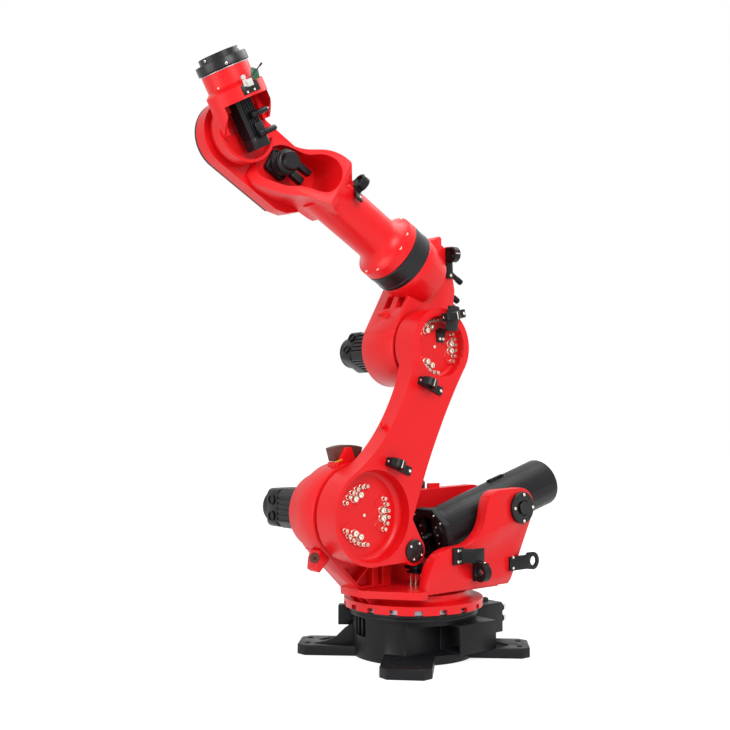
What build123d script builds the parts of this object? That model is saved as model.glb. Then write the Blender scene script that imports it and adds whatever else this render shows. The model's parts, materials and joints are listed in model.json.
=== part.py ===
from build123d import *
import os
from math import atan2, cos, degrees, hypot, radians, sin

os.makedirs("parts", exist_ok=True)

# Industrial robot arm with a spring counterbalance, millimetres, +Z up.
# The origin is on the turning axis of the turntable, at floor level.
# +X is the way the arm faces, +Y the side of the lower arm.

# Driving dimensions of the arm's geometry
SHOULDER_X = 458.0
SHOULDER_Z = 777.0
LOWER_ARM_LENGTH = 1007.0
LOWER_ARM_LEAN = 28.3
ELBOW_OFFSET = 370.0
FOREARM_LENGTH = 1468.0
FOREARM_RISE = 29.3
FLANGE_RISE = 60.0

# Base casting
DRUM_R = 333.0
DRUM_TOP = 222.0
SEAT_R = 352.0
SEAT_TOP = 238.0
FOOT_ANGLE = 44.0
FOOT_REACH = 625.0
FOOT_HALF_WIDTH = 131.0
FOOT_TIP_HALF_WIDTH = 92.0
FOOT_CHAMFER = 44.0
FOOT_THICK = 52.0
FOOT_HOLE_R = 16.5
FOOT_HOLE_RADIUS = 572.0
FOOT_HOLE_SIDE = 66.0
POCKET_INNER_Y = 222.0
POCKET_OUTER_Y = 385.0
POCKET_BOTTOM = 46.0
POCKET_TOP = 198.0
POCKET_REAR_X = -250.0
POCKET_FRONT_X = 20.0
POCKET_WALL = 12.0
SLOT_WIDTH = 108.0
SLOT_HEIGHT = 96.0

# Turntable
RING_R = 350.0
RING_TOP = 286.0
RIM_R = 380.0
RIM_BOTTOM = 262.0
RIM_PLATE_BOTTOM = 292.0
RIM_TOP = 307.0
RIM_INNER_R = 357.0
RIM_WINDOWS = 18
RIM_WINDOW_ANGLE = 12.0
NECK_R = 300.0
DECK_BOTTOM = 347.0
DECK_TOP = 385.0
SHOULDER_DRUM_R = 265.0
HOUSING_FAR_Y = -105.0
HOUSING_NEAR_Y = 48.0
YOKE_FRONT_X = 197.0
YAW_X = -206.0
YAW_Y = -212.0
YAW_SEAT_Z = 470.0

# Lower arm, in its own side plane
ARM_NEAR_Y = 217.0
ARM_FAR_Y = 66.0
ARM_SHOULDER_R = 256.0
ARM_ELBOW_R = 206.0
SHOULDER_RECESS_R = 235.0
SHOULDER_RECESS_DEPTH = 86.0
ELBOW_RECESS_R = 166.0
ELBOW_RECESS_DEPTH = 61.0
REDUCER_R = 236.0
RUN_GAP = 0.3

# Counterbalance
TRUNNION_X = -515.0
TRUNNION_Z = 776.0
EYE_X = 190.0
EYE_Z = 582.0
CYLINDER_Y = 106.0
CYLINDER_FRONT = 515.0
CYLINDER_REAR = -455.0
CYLINDER_R = 139.0
CYLINDER_FRONT_R = 126.0
CYLINDER_BORE_R = 106.0
ROD_R = 22.0
ROD_LENGTH = 480.0
EYE_R = 58.0
EYE_HALF = 32.0
YOKE_INNER = 153.0
YOKE_THICK = 70.0
YOKE_HEAD_R = 108.0
YOKE_NEAR_INNER = CYLINDER_Y + YOKE_INNER
YOKE_FAR_INNER = CYLINDER_Y - YOKE_INNER

# Elbow and forearm
ELBOW_NEAR_Y = 48.0
ELBOW_FAR_Y = -212.0
ELBOW_R = 212.0
COLLAR_R = 187.0
COLLAR_REAR = 300.0
COLLAR_FRONT = 418.0
TUBE_R = 127.0
PADDLE_FAR_Y = -205.0
PADDLE_NEAR_Y = -128.0
BOSS_NEAR_Y = -96.0
BOSS_R = 150.0
CUP_FAR_Y = -90.0
CUP_NEAR_Y = -26.0
CUP_INNER_R = 150.0
PADDLE_LOW = 189.0
PADDLE_HIGH = 176.0
PADDLE_END_R = (PADDLE_LOW + PADDLE_HIGH) / 2
WRIST_R = 165.0
WRIST_BODY_R = 154.0
WRIST_BODY_FAR_Y = -32.0
FLANGE_RING_R = 122.0
FLANGE_NECK_TOP = 298.0
FLANGE_R = 131.0
FLANGE_SMALL_R = 103.0
FLANGE_FACE = 380.0
FLANGE_PCD = 160.0
FLANGE_HOLE_R = 5.5

# Joint centres worked out from the driving dimensions
ELBOW_X = SHOULDER_X - LOWER_ARM_LENGTH * sin(radians(LOWER_ARM_LEAN))
ELBOW_Z = SHOULDER_Z + LOWER_ARM_LENGTH * cos(radians(LOWER_ARM_LEAN))
RISE_COS = cos(radians(FOREARM_RISE))
RISE_SIN = sin(radians(FOREARM_RISE))
AXIS_X = ELBOW_X - ELBOW_OFFSET * RISE_SIN
AXIS_Z = ELBOW_Z + ELBOW_OFFSET * RISE_COS
WRIST_X = AXIS_X + FOREARM_LENGTH * RISE_COS
WRIST_Z = AXIS_Z + FOREARM_LENGTH * RISE_SIN
ROD_ANGLE = degrees(atan2(EYE_Z - TRUNNION_Z, EYE_X - TRUNNION_X))
ROD_REACH = hypot(EYE_Z - TRUNNION_Z, EYE_X - TRUNNION_X)


def side_plane(x, y, z, angle):
    """A plane facing the far side, its first axis raised by angle from +X."""
    direction = (cos(radians(angle)), 0, sin(radians(angle)))
    return Plane(origin=(x, y, z), x_dir=direction, z_dir=(0, -1, 0))


def arm_side(y):
    """Side plane of the lower arm: first axis to its front, second axis to the elbow."""
    return side_plane(SHOULDER_X, y, SHOULDER_Z, LOWER_ARM_LEAN)


def elbow_side(y):
    """Side plane of the elbow casting, centred on the elbow joint."""
    return side_plane(ELBOW_X, y, ELBOW_Z, FOREARM_RISE)


def forearm_side(y):
    """Side plane of the forearm: first axis along the forearm, from abreast of the elbow."""
    return side_plane(AXIS_X, y, AXIS_Z, FOREARM_RISE)


def wrist_side(y):
    """Side plane of the wrist, first axis along the flange axis."""
    return side_plane(WRIST_X, y, WRIST_Z, FLANGE_RISE)


def rod_side(y):
    """Side plane of the counterbalance, centred on the trunnions."""
    return side_plane(TRUNNION_X, y, TRUNNION_Z, ROD_ANGLE)


def across(side, along):
    """A plane square to the first axis of a side plane, at a distance along it."""
    return Plane(origin=side.from_local_coords((along, 0, 0)), x_dir=(0, 1, 0), z_dir=side.x_dir)


def save(part, name):
    """Label a finished piece and write it as a STEP file."""
    part.label = name
    export_step(part, f"parts/{name}.step")


# Base casting: a round drum on four spread feet
with BuildPart() as base_casting:
    with BuildSketch(Plane.XY):
        Circle(DRUM_R)
    extrude(amount=DRUM_TOP)
    with BuildSketch(Plane.XY.offset(DRUM_TOP)):
        Circle(SEAT_R)
    extrude(amount=SEAT_TOP - DRUM_TOP)
    for foot_angle in (FOOT_ANGLE, 180 - FOOT_ANGLE, 180 + FOOT_ANGLE, 360 - FOOT_ANGLE):
        foot_plane = Plane.XY.rotated((0, 0, foot_angle))
        with BuildSketch(foot_plane):
            with BuildLine():
                Polyline(
                    (DRUM_R - 60, -FOOT_HALF_WIDTH),
                    (FOOT_REACH - FOOT_CHAMFER, -FOOT_HALF_WIDTH),
                    (FOOT_REACH, -FOOT_TIP_HALF_WIDTH),
                    (FOOT_REACH, FOOT_TIP_HALF_WIDTH),
                    (FOOT_REACH - FOOT_CHAMFER, FOOT_HALF_WIDTH),
                    (DRUM_R - 60, FOOT_HALF_WIDTH),
                    close=True,
                )
            make_face()
        extrude(amount=FOOT_THICK)
        rib_plane = Plane(origin=(0, 0, 0), x_dir=foot_plane.x_dir, z_dir=foot_plane.y_dir * -1)
        with BuildSketch(rib_plane):
            with BuildLine():
                Polyline(
                    (DRUM_R - 40, FOOT_THICK - 5),
                    (DRUM_R + 150, FOOT_THICK - 5),
                    (DRUM_R + 40, FOOT_THICK + 28),
                    (DRUM_R - 8, FOOT_THICK + 105),
                    (DRUM_R - 40, FOOT_THICK + 105),
                    close=True,
                )
            make_face()
        extrude(amount=16, both=True)
    pocket_mid_y = (POCKET_INNER_Y + POCKET_OUTER_Y) / 2
    pocket_span = POCKET_OUTER_Y - POCKET_INNER_Y
    with BuildSketch(Plane.XZ.offset(-POCKET_OUTER_Y - 5)):
        with Locations((0, (POCKET_BOTTOM + POCKET_TOP) / 2)):
            Rectangle(2 * DRUM_R + 40, POCKET_TOP - POCKET_BOTTOM)
    extrude(amount=pocket_span + 5, mode=Mode.SUBTRACT)
    with BuildSketch(Plane.XZ.offset(POCKET_INNER_Y)):
        with Locations((0, (POCKET_BOTTOM + POCKET_TOP) / 2)):
            Rectangle(2 * DRUM_R + 40, POCKET_TOP - POCKET_BOTTOM)
    extrude(amount=pocket_span + 5, mode=Mode.SUBTRACT)
    slot_plane = Plane(origin=(0, 0, 0), x_dir=(0, 1, 0), z_dir=(1, 0, 0)).rotated((0, 0, -11))
    with BuildSketch(slot_plane.offset(302)):
        with Locations((0, 167)):
            Rectangle(SLOT_WIDTH, SLOT_HEIGHT)
    extrude(amount=60, mode=Mode.SUBTRACT)
    for foot_angle in (FOOT_ANGLE, 180 - FOOT_ANGLE, 180 + FOOT_ANGLE, 360 - FOOT_ANGLE):
        with Locations(Plane.XY.rotated((0, 0, foot_angle)).offset(FOOT_THICK)):
            with Locations((FOOT_HOLE_RADIUS, FOOT_HOLE_SIDE), (FOOT_HOLE_RADIUS, -FOOT_HOLE_SIDE)):
                Hole(FOOT_HOLE_R)
save(base_casting.part, "base_casting")

# Fork pockets: rectangular tubes along both sides of the drum
for name, sign in (("fork_pocket_near", 1), ("fork_pocket_far", -1)):
    with BuildPart() as fork_pocket:
        with BuildSketch(Plane.YZ.offset(POCKET_REAR_X)):
            with Locations((sign * pocket_mid_y, (POCKET_BOTTOM + POCKET_TOP) / 2)):
                Rectangle(pocket_span, POCKET_TOP - POCKET_BOTTOM)
                Rectangle(
                    pocket_span - 2 * POCKET_WALL,
                    POCKET_TOP - POCKET_BOTTOM - 2 * POCKET_WALL,
                    mode=Mode.SUBTRACT,
                )
        extrude(amount=POCKET_FRONT_X - POCKET_REAR_X)
    save(fork_pocket.part, name)

# Slewing bearing ring, fixed on the base
with BuildPart() as bearing_ring:
    with BuildSketch(Plane.XY.offset(SEAT_TOP)):
        Circle(RING_R)
        Circle(RING_R - 70, mode=Mode.SUBTRACT)
    extrude(amount=RING_TOP - SEAT_TOP)
save(bearing_ring.part, "bearing_ring")

# Connector box on the rear of the base
BOX_FRONT_X = -318.0
BOX_REAR_X = -555.0
BOX_HALF_Y = 150.0
BOX_BOTTOM = 60.0
BOX_TOP = 226.0
with BuildPart() as connector_box:
    with BuildSketch(Plane.YZ.offset(BOX_REAR_X)):
        with Locations((0, (BOX_BOTTOM + BOX_TOP) / 2)):
            Rectangle(2 * BOX_HALF_Y, BOX_TOP - BOX_BOTTOM)
    extrude(amount=BOX_FRONT_X - BOX_REAR_X)
    fillet(connector_box.edges().filter_by(Axis.X).group_by(Axis.Z)[-1], 12)
    with BuildSketch(Plane.XY.offset(BOX_BOTTOM - 10)):
        Circle(DRUM_R)
    extrude(amount=BOX_TOP, mode=Mode.SUBTRACT)
    with BuildSketch(Plane.XY.offset(DRUM_TOP)):
        Circle(SEAT_R)
    extrude(amount=BOX_TOP, mode=Mode.SUBTRACT)
    with BuildSketch(Plane.XY.offset(BOX_TOP)):
        with Locations((-462, 0)):
            Rectangle(140, 120)
    extrude(amount=16)
save(connector_box.part, "connector_box")

# Small box on the far side of the drum
with BuildPart() as side_box:
    with BuildSketch(Plane.XY.rotated((0, 0, -43)).offset(147)):
        with Locations((360, 0)):
            Rectangle(100, 62)
    extrude(amount=106)
    with BuildSketch(Plane.XY.offset(140)):
        Circle(DRUM_R)
    extrude(amount=DRUM_TOP - 140, mode=Mode.SUBTRACT)
    with BuildSketch(Plane.XY.offset(DRUM_TOP)):
        Circle(SEAT_R)
    extrude(amount=40, mode=Mode.SUBTRACT)
save(side_box.part, "side_box")

# Round cable connectors on the rear of the box
with BuildPart() as base_connectors:
    with BuildSketch(Plane.YZ.offset(BOX_REAR_X)):
        with Locations((110, 188), (110, 128), (40, 188), (40, 128)):
            Circle(24)
    extrude(amount=-36)
    with BuildSketch(Plane.YZ.offset(BOX_REAR_X - 36)):
        with Locations((110, 188), (110, 128), (40, 188), (40, 128)):
            Circle(18)
    extrude(amount=-24)
save(base_connectors.part, "base_connectors")

# Turntable casting: castellated rim, hollowed neck and deck
with BuildPart() as turntable_casting:
    with BuildSketch(Plane.XY.offset(RIM_BOTTOM)):
        Circle(RIM_R)
        Circle(RIM_INNER_R, mode=Mode.SUBTRACT)
    extrude(amount=RIM_PLATE_BOTTOM - RIM_BOTTOM)
    with BuildSketch(Plane.XY.offset(RIM_BOTTOM - 1)):
        with PolarLocations(RIM_R, RIM_WINDOWS, start_angle=RIM_WINDOW_ANGLE):
            Rectangle(90, 42)
    extrude(amount=RIM_PLATE_BOTTOM - RIM_BOTTOM - 3, mode=Mode.SUBTRACT)
    with BuildSketch(Plane.XZ):
        with BuildLine():
            Polyline(
                (0, RIM_PLATE_BOTTOM),
                (RIM_R, RIM_PLATE_BOTTOM),
                (RIM_R, RIM_TOP),
                (NECK_R + 42, RIM_TOP),
            )
            Spline((NECK_R + 42, RIM_TOP), (NECK_R + 8, RIM_TOP + 12), (NECK_R + 2, DECK_BOTTOM))
            Polyline((NECK_R + 2, DECK_BOTTOM), (0, DECK_BOTTOM), (0, RIM_PLATE_BOTTOM))
        make_face()
    revolve(axis=Axis.Z, revolution_arc=360)
    with BuildSketch(Plane.XY.offset(DECK_BOTTOM)):
        with BuildLine():
            Polyline(
                (430, -95),
                (430, 95),
                (250, 329),
                (YOKE_FRONT_X + 2, 329),
                (YOKE_FRONT_X + 2, YOKE_NEAR_INNER),
                (-400, YOKE_NEAR_INNER),
                (-400, YOKE_FAR_INNER),
                (YOKE_FRONT_X + 2, YOKE_FAR_INNER),
                (YOKE_FRONT_X + 2, -330),
                (250, -330),
                close=True,
            )
        make_face()
    extrude(amount=DECK_TOP - DECK_BOTTOM)
    for rib_y in (-70, 0, 70):
        with BuildSketch(side_plane(0, rib_y + 9, 0, 0)):
            with BuildLine():
                Polyline(
                    (NECK_R - 10, RIM_TOP - 2),
                    (RIM_R - 22, RIM_TOP - 2),
                    (RIM_R + 30, DECK_BOTTOM + 2),
                    (NECK_R - 10, DECK_BOTTOM + 2),
                    close=True,
                )
            make_face()
        extrude(amount=18)
    with BuildSketch(Plane.XY.offset(RIM_TOP - 2)):
        with Locations((YAW_X, YAW_Y)):
            Circle(86)
    extrude(amount=YAW_SEAT_Z - RIM_TOP + 2)
save(turntable_casting.part, "turntable_casting")

# Shoulder housing: the drum of the shoulder joint on its ribbed pedestal
SHOULDER_BORE_R = 120.0
with BuildPart() as shoulder_housing:
    with BuildSketch(side_plane(SHOULDER_X, HOUSING_NEAR_Y, SHOULDER_Z, 0)):
        Circle(SHOULDER_DRUM_R)
        with BuildLine():
            Polyline(
                (-257, DECK_TOP - SHOULDER_Z),
                (-28, DECK_TOP - SHOULDER_Z),
                (200, -174),
                (0, 0),
                (-257, 0),
                close=True,
            )
        make_face()
    extrude(amount=HOUSING_NEAR_Y - HOUSING_FAR_Y)
    with BuildSketch(side_plane(SHOULDER_X, HOUSING_FAR_Y, SHOULDER_Z, 0)):
        Circle(205)
    extrude(amount=140)
    with BuildSketch(side_plane(SHOULDER_X, HOUSING_NEAR_Y, SHOULDER_Z, 0)):
        with BuildLine():
            Polyline((-195, -378), (-168, -378), (-168, -232), (-195, -205), close=True)
        make_face()
        with BuildLine():
            Polyline((-128, -378), (-46, -378), (60, -275), (-128, -262), close=True)
        make_face()
    extrude(amount=56, mode=Mode.SUBTRACT)
    with BuildSketch(side_plane(SHOULDER_X, HOUSING_NEAR_Y, SHOULDER_Z, 0)):
        with BuildLine():
            Polyline((-128, -262), (-112, -262), (10, -378), (-12, -378), close=True)
        make_face()
    extrude(amount=56)
    with BuildSketch(side_plane(SHOULDER_X, HOUSING_NEAR_Y, SHOULDER_Z, 0)):
        Circle(SHOULDER_BORE_R + RUN_GAP)
    extrude(amount=30, mode=Mode.SUBTRACT)
save(shoulder_housing.part, "shoulder_housing")

# Shoulder lug on the front of the drum
with BuildPart() as shoulder_lug:
    with BuildSketch(side_plane(SHOULDER_X, 40, SHOULDER_Z, 0)):
        with BuildLine():
            Polyline(
                (150, -225),
                (180, -250),
                (214, -284),
                (238, -268),
                (233, -215),
                (218, -172),
                (200, -170),
                close=True,
            )
        make_face()
        Circle(SHOULDER_DRUM_R, mode=Mode.SUBTRACT)
        with BuildLine():
            Polyline((-28, DECK_TOP - SHOULDER_Z), (200, -174), (0, 0), close=True)
        make_face(mode=Mode.SUBTRACT)
    extrude(amount=80)
save(shoulder_lug.part, "shoulder_lug")

# Curved rubber stop block over the shoulder drum, held by a bracket
STOP_INNER_R = 284.0
STOP_OUTER_R = 357.0
with BuildPart() as stop_block:
    with BuildSketch(side_plane(SHOULDER_X, 6, SHOULDER_Z, 0)):
        Circle(STOP_OUTER_R)
        Circle(STOP_INNER_R, mode=Mode.SUBTRACT)
        with BuildLine():
            Polyline((0, 0), (150, 470), (-130, 470), close=True)
        make_face(mode=Mode.INTERSECT)
    extrude(amount=62)
save(stop_block.part, "stop_block")

with BuildPart() as stop_bracket:
    with BuildSketch(side_plane(SHOULDER_X, 22, SHOULDER_Z, 0)):
        with BuildLine():
            Polyline((98, 236), (36, 345), (-5, 345), (-45, 250), close=True)
        make_face()
    extrude(amount=16)
    with BuildSketch(side_plane(SHOULDER_X, 6, SHOULDER_Z, 0)):
        with BuildLine():
            Polyline((98, 236), (90, STOP_INNER_R - 14), (-70, STOP_INNER_R - 14), (-78, 236), close=True)
        make_face()
        Circle(STOP_INNER_R, mode=Mode.INTERSECT)
    extrude(amount=62)
    with BuildSketch(side_plane(SHOULDER_X, 22, SHOULDER_Z, 0)):
        Circle(SHOULDER_DRUM_R)
    extrude(amount=80, mode=Mode.SUBTRACT)
save(stop_bracket.part, "stop_bracket")


def servo_motor(side, start, half, length, cap):
    """Square finned servo motor body with a round rear cap, along a side plane's normal."""
    with BuildPart() as motor:
        with BuildSketch(side.offset(start)):
            RectangleRounded(2 * half + 18, 2 * half + 18, 22)
        extrude(amount=24)
        with BuildSketch(side.offset(start + 24)):
            RectangleRounded(2 * half, 2 * half, half * 0.38)
        extrude(amount=length - 24)
        with BuildSketch(side.offset(start + length)):
            Circle(half * 0.92)
        extrude(amount=cap)
    return motor.part


MOTOR_SIDE = side_plane(SHOULDER_X, 0, SHOULDER_Z, 0)
save(servo_motor(MOTOR_SIDE, 245, 108, 350, 60), "shoulder_motor")
save(servo_motor(elbow_side(0), 212, 98, 310, 50), "elbow_motor")
yaw_plane = Plane(origin=(YAW_X, YAW_Y, 0), x_dir=(1, 0, 0), z_dir=(0, 0, 1))
save(servo_motor(yaw_plane, YAW_SEAT_Z, 68, 390, 54), "yaw_motor")

# Counterbalance yoke: two thick plates with rounded trunnion heads
yoke_near_outer = CYLINDER_Y + YOKE_INNER + YOKE_THICK
yoke_far_outer = CYLINDER_Y - YOKE_INNER - YOKE_THICK
for name, sign, outer_y, inner_y in (
    ("yoke_near_plate", 1, yoke_near_outer, CYLINDER_Y + YOKE_INNER),
    ("yoke_far_plate", -1, YOKE_FAR_INNER, yoke_far_outer),
):
    with BuildPart() as yoke_plate:
        with BuildSketch(side_plane(0, outer_y, 0, 0)):
            with BuildLine():
                Polyline((YOKE_FRONT_X, 368), (-405, 368), (-430, 392), (-620, 750))
                RadiusArc((-620, 750), (TRUNNION_X + 20, TRUNNION_Z + YOKE_HEAD_R), YOKE_HEAD_R)
                Polyline((TRUNNION_X + 20, TRUNNION_Z + YOKE_HEAD_R), (-346, 881))
                if sign > 0:
                    Spline(
                        (-346, 881),
                        (-262, 835),
                        (-222, 705),
                        (-110, 606),
                        (60, 585),
                        (150, 530),
                        (188, 440),
                        (YOKE_FRONT_X, 368),
                    )
                else:
                    Polyline((-346, 881), (-110, 872), (120, 872), (YOKE_FRONT_X, 840), (YOKE_FRONT_X, 368))
            make_face()
            with Locations((TRUNNION_X, TRUNNION_Z)):
                Circle(52, mode=Mode.SUBTRACT)
        extrude(amount=outer_y - inner_y)
        if sign > 0:
            with BuildSketch(side_plane(0, outer_y + 12, 0, 0)):
                with Locations((-416, 476)):
                    Rectangle(44, 88)
            extrude(amount=12)
        else:
            with BuildSketch(side_plane(0, inner_y + 40, 0, 0)):
                with Locations((-246, 882)):
                    Rectangle(66, 42)
            extrude(amount=38)
        with BuildSketch(side_plane(SHOULDER_X, HOUSING_NEAR_Y, SHOULDER_Z, 0)):
            Circle(SHOULDER_DRUM_R)
        extrude(amount=YOKE_THICK + HOUSING_NEAR_Y + 60, mode=Mode.SUBTRACT)
    save(yoke_plate.part, name)

# Hose bracket and clamp on the near plate
with BuildPart() as yoke_clamp_bracket:
    with BuildSketch(side_plane(0, yoke_near_outer + 14, 0, 0)):
        with Locations((-14, 550)):
            Rectangle(74, 88)
    extrude(amount=14)
    with BuildSketch(Plane.XY.offset(514)):
        with BuildLine():
            Polyline(
                (-22, 343),
                (-22, 354),
                (-78, 398),
                (-150, 398),
                (-150, 387),
                (-82, 387),
                (-40, 343),
                close=True,
            )
        make_face()
    extrude(amount=74)
save(yoke_clamp_bracket.part, "yoke_clamp_bracket")

CLAMP_Z = 462.0
with BuildPart() as yoke_hose_clamp:
    with BuildSketch(Plane.YZ.offset(-152)):
        with Locations((400, CLAMP_Z)):
            Circle(50)
        with Locations((374, CLAMP_Z)):
            Rectangle(52, 100)
        with Locations((402, CLAMP_Z)):
            Circle(28, mode=Mode.SUBTRACT)
    extrude(amount=48)
save(yoke_hose_clamp.part, "yoke_hose_clamp")

# Lifting eye on the rear of the near plate
with BuildPart() as lifting_eye:
    with BuildSketch(side_plane(0, yoke_near_outer + 24, 0, 0)):
        with Locations((-466, 476)):
            Rectangle(140, 78)
    extrude(amount=12)
    with BuildSketch(side_plane(0, yoke_near_outer + 34, 0, 0)):
        with Locations((-590, 478)):
            Circle(49)
        with Locations((-563, 478)):
            Rectangle(56, 98)
        with Locations((-590, 478)):
            Circle(25, mode=Mode.SUBTRACT)
    extrude(amount=26)
save(lifting_eye.part, "lifting_eye")

# Hose guide standing on the deck on three pins
with BuildPart() as hose_guide:
    with BuildSketch(Plane.XY.offset(DECK_TOP)):
        with Locations((68, 137), (90, 122), (112, 107)):
            Circle(7)
    extrude(amount=72)
    with BuildSketch(Plane.XY.offset(DECK_TOP + 66)):
        with Locations((96, 137)):
            Rectangle(84, 84)
    extrude(amount=12)
    with BuildSketch(Plane.XY.offset(DECK_TOP + 78)):
        with Locations((102, 143)):
            Rectangle(50, 50)
    extrude(amount=12)
    with BuildSketch(Plane.XY.offset(DECK_TOP + 90)):
        with Locations((100, 139)):
            Rectangle(100, 100)
    extrude(amount=22)
save(hose_guide.part, "hose_guide")

# Trunnion caps on the outer faces of both yoke plates
with BuildPart() as trunnion_caps:
    with BuildSketch(side_plane(TRUNNION_X, yoke_near_outer, TRUNNION_Z, 0)):
        Circle(88)
    extrude(amount=-20)
    with BuildSketch(side_plane(TRUNNION_X, yoke_near_outer + 20, TRUNNION_Z, 0)):
        Circle(36)
    extrude(amount=-12)
    with BuildSketch(side_plane(TRUNNION_X, yoke_far_outer, TRUNNION_Z, 0)):
        Circle(88)
    extrude(amount=20)
save(trunnion_caps.part, "trunnion_caps")

# Counterbalance cylinder: hollow tube with a bolted front flange and trunnion pins
with BuildPart() as cylinder_tube:
    tube_side = rod_side(CYLINDER_Y)
    with BuildSketch(across(tube_side, CYLINDER_REAR + 22)):
        Circle(CYLINDER_R)
    with BuildSketch(across(tube_side, CYLINDER_FRONT - 40)):
        Circle(CYLINDER_FRONT_R)
    loft()
    with BuildSketch(across(tube_side, CYLINDER_REAR)):
        Circle(CYLINDER_R - 22)
    with BuildSketch(across(tube_side, CYLINDER_REAR + 22)):
        Circle(CYLINDER_R)
    loft()
    with BuildSketch(across(tube_side, -120)):
        Circle(CYLINDER_BORE_R)
    extrude(amount=CYLINDER_FRONT + 200, mode=Mode.SUBTRACT)
save(cylinder_tube.part, "cylinder_tube")

with BuildPart() as cylinder_flange:
    with BuildSketch(across(rod_side(CYLINDER_Y), CYLINDER_FRONT - 40)):
        RegularPolygon(158, 8, rotation=22.5)
        Circle(CYLINDER_BORE_R, mode=Mode.SUBTRACT)
    extrude(amount=40)
save(cylinder_flange.part, "cylinder_flange")

# Grab handle on top of the cylinder
with BuildPart() as cylinder_handle:
    with BuildSketch(rod_side(CYLINDER_Y + 8)):
        with Locations((-75, CYLINDER_R + 6)):
            Rectangle(118, 30)
            Rectangle(86, 12, mode=Mode.SUBTRACT)
    extrude(amount=16)
    with BuildSketch(across(rod_side(CYLINDER_Y), CYLINDER_REAR)):
        Circle(CYLINDER_R - 4.0)
    extrude(amount=CYLINDER_FRONT - CYLINDER_REAR, mode=Mode.SUBTRACT)
save(cylinder_handle.part, "cylinder_handle")

with BuildPart() as trunnion_pins:
    with BuildSketch(rod_side(CYLINDER_Y + YOKE_INNER + YOKE_THICK - 4)):
        Circle(52 - RUN_GAP)
    extrude(amount=2 * (YOKE_INNER + YOKE_THICK - 4))
    with BuildSketch(rod_side(CYLINDER_Y + YOKE_INNER - 6)):
        Circle(80)
    extrude(amount=2 * (YOKE_INNER - 6))
    with BuildSketch(across(rod_side(CYLINDER_Y), CYLINDER_REAR)):
        Circle(CYLINDER_R - 4)
    extrude(amount=CYLINDER_FRONT - CYLINDER_REAR, mode=Mode.SUBTRACT)
save(trunnion_pins.part, "trunnion_pins")

# Piston rod with its eye on the pin of the lower arm
with BuildPart() as piston_rod:
    with BuildSketch(across(rod_side(CYLINDER_Y), ROD_REACH - ROD_LENGTH)):
        Circle(ROD_R)
    extrude(amount=ROD_LENGTH - EYE_R + 12)
    with BuildSketch(across(rod_side(CYLINDER_Y), ROD_REACH - ROD_LENGTH)):
        Circle(ROD_R + 10)
    extrude(amount=30)
    with BuildSketch(rod_side(CYLINDER_Y + EYE_HALF)):
        with Locations((ROD_REACH, 0)):
            Circle(EYE_R)
    extrude(amount=2 * EYE_HALF)
    with BuildSketch(rod_side(CYLINDER_Y + EYE_HALF)):
        with Locations((ROD_REACH, 0)):
            Circle(30 + RUN_GAP)
    extrude(amount=2 * EYE_HALF, mode=Mode.SUBTRACT)
save(piston_rod.part, "piston_rod")

# Lower arm: a plate with thick ends and an ear for the rod pin
EAR_LOCAL = arm_side(0).to_local_coords(Vector(EYE_X, 0, EYE_Z))
EAR_R = 76.0
EAR_FAR_Y = CYLINDER_Y + EYE_HALF + 6
ARM_WAIST_FAR_Y = 108.0
with BuildPart() as lower_arm_casting:
    with BuildSketch(arm_side(ARM_NEAR_Y)):
        Circle(ARM_SHOULDER_R)
        with Locations((0, LOWER_ARM_LENGTH)):
            Circle(ARM_ELBOW_R)
    extrude(amount=ARM_NEAR_Y - ARM_FAR_Y)
    with BuildSketch(arm_side(ARM_NEAR_Y)):
        with BuildLine():
            Spline((220, 131), (132, 360), (109, 610), (140, 820), (172, LOWER_ARM_LENGTH - 110))
            Polyline((172, LOWER_ARM_LENGTH - 110), (0, LOWER_ARM_LENGTH), (-203, LOWER_ARM_LENGTH - 36))
            Spline((-203, LOWER_ARM_LENGTH - 36), (-193, 720), (-200, 490), (-250, 50))
            Polyline((-250, 50), (0, 0), (220, 131))
        make_face()
    extrude(amount=ARM_NEAR_Y - ARM_WAIST_FAR_Y)
    with BuildSketch(arm_side(ARM_WAIST_FAR_Y)):
        with BuildLine():
            Polyline((186, 150), (118, 330), (-196, 330), (-226, 80), close=True)
        make_face()
        with BuildLine():
            Polyline((150, 900), (108, 760), (-184, 760), (-190, 950), close=True)
        make_face()
    extrude(amount=ARM_WAIST_FAR_Y - ARM_FAR_Y, taper=24)
    with BuildSketch(arm_side(ARM_NEAR_Y)):
        with Locations((EAR_LOCAL.X, EAR_LOCAL.Y)):
            Circle(EAR_R)
        with BuildLine():
            Polyline(
                (EAR_LOCAL.X - 20, EAR_LOCAL.Y + 73),
                (-235, 100),
                (-100, -235),
                (EAR_LOCAL.X + 20, EAR_LOCAL.Y - 73),
                close=True,
            )
        make_face()
    extrude(amount=ARM_NEAR_Y - EAR_FAR_Y)
    with BuildSketch(arm_side(ARM_NEAR_Y)):
        Circle(SHOULDER_RECESS_R)
    extrude(amount=SHOULDER_RECESS_DEPTH, mode=Mode.SUBTRACT)
    with BuildSketch(arm_side(ARM_NEAR_Y)):
        with Locations((0, LOWER_ARM_LENGTH)):
            Circle(ELBOW_RECESS_R)
    extrude(amount=ELBOW_RECESS_DEPTH, mode=Mode.SUBTRACT)
    with BuildSketch(arm_side(ARM_NEAR_Y)):
        with Locations((EAR_LOCAL.X, EAR_LOCAL.Y)):
            Circle(30)
    extrude(amount=100, mode=Mode.SUBTRACT)
save(lower_arm_casting.part, "lower_arm_casting")


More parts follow.
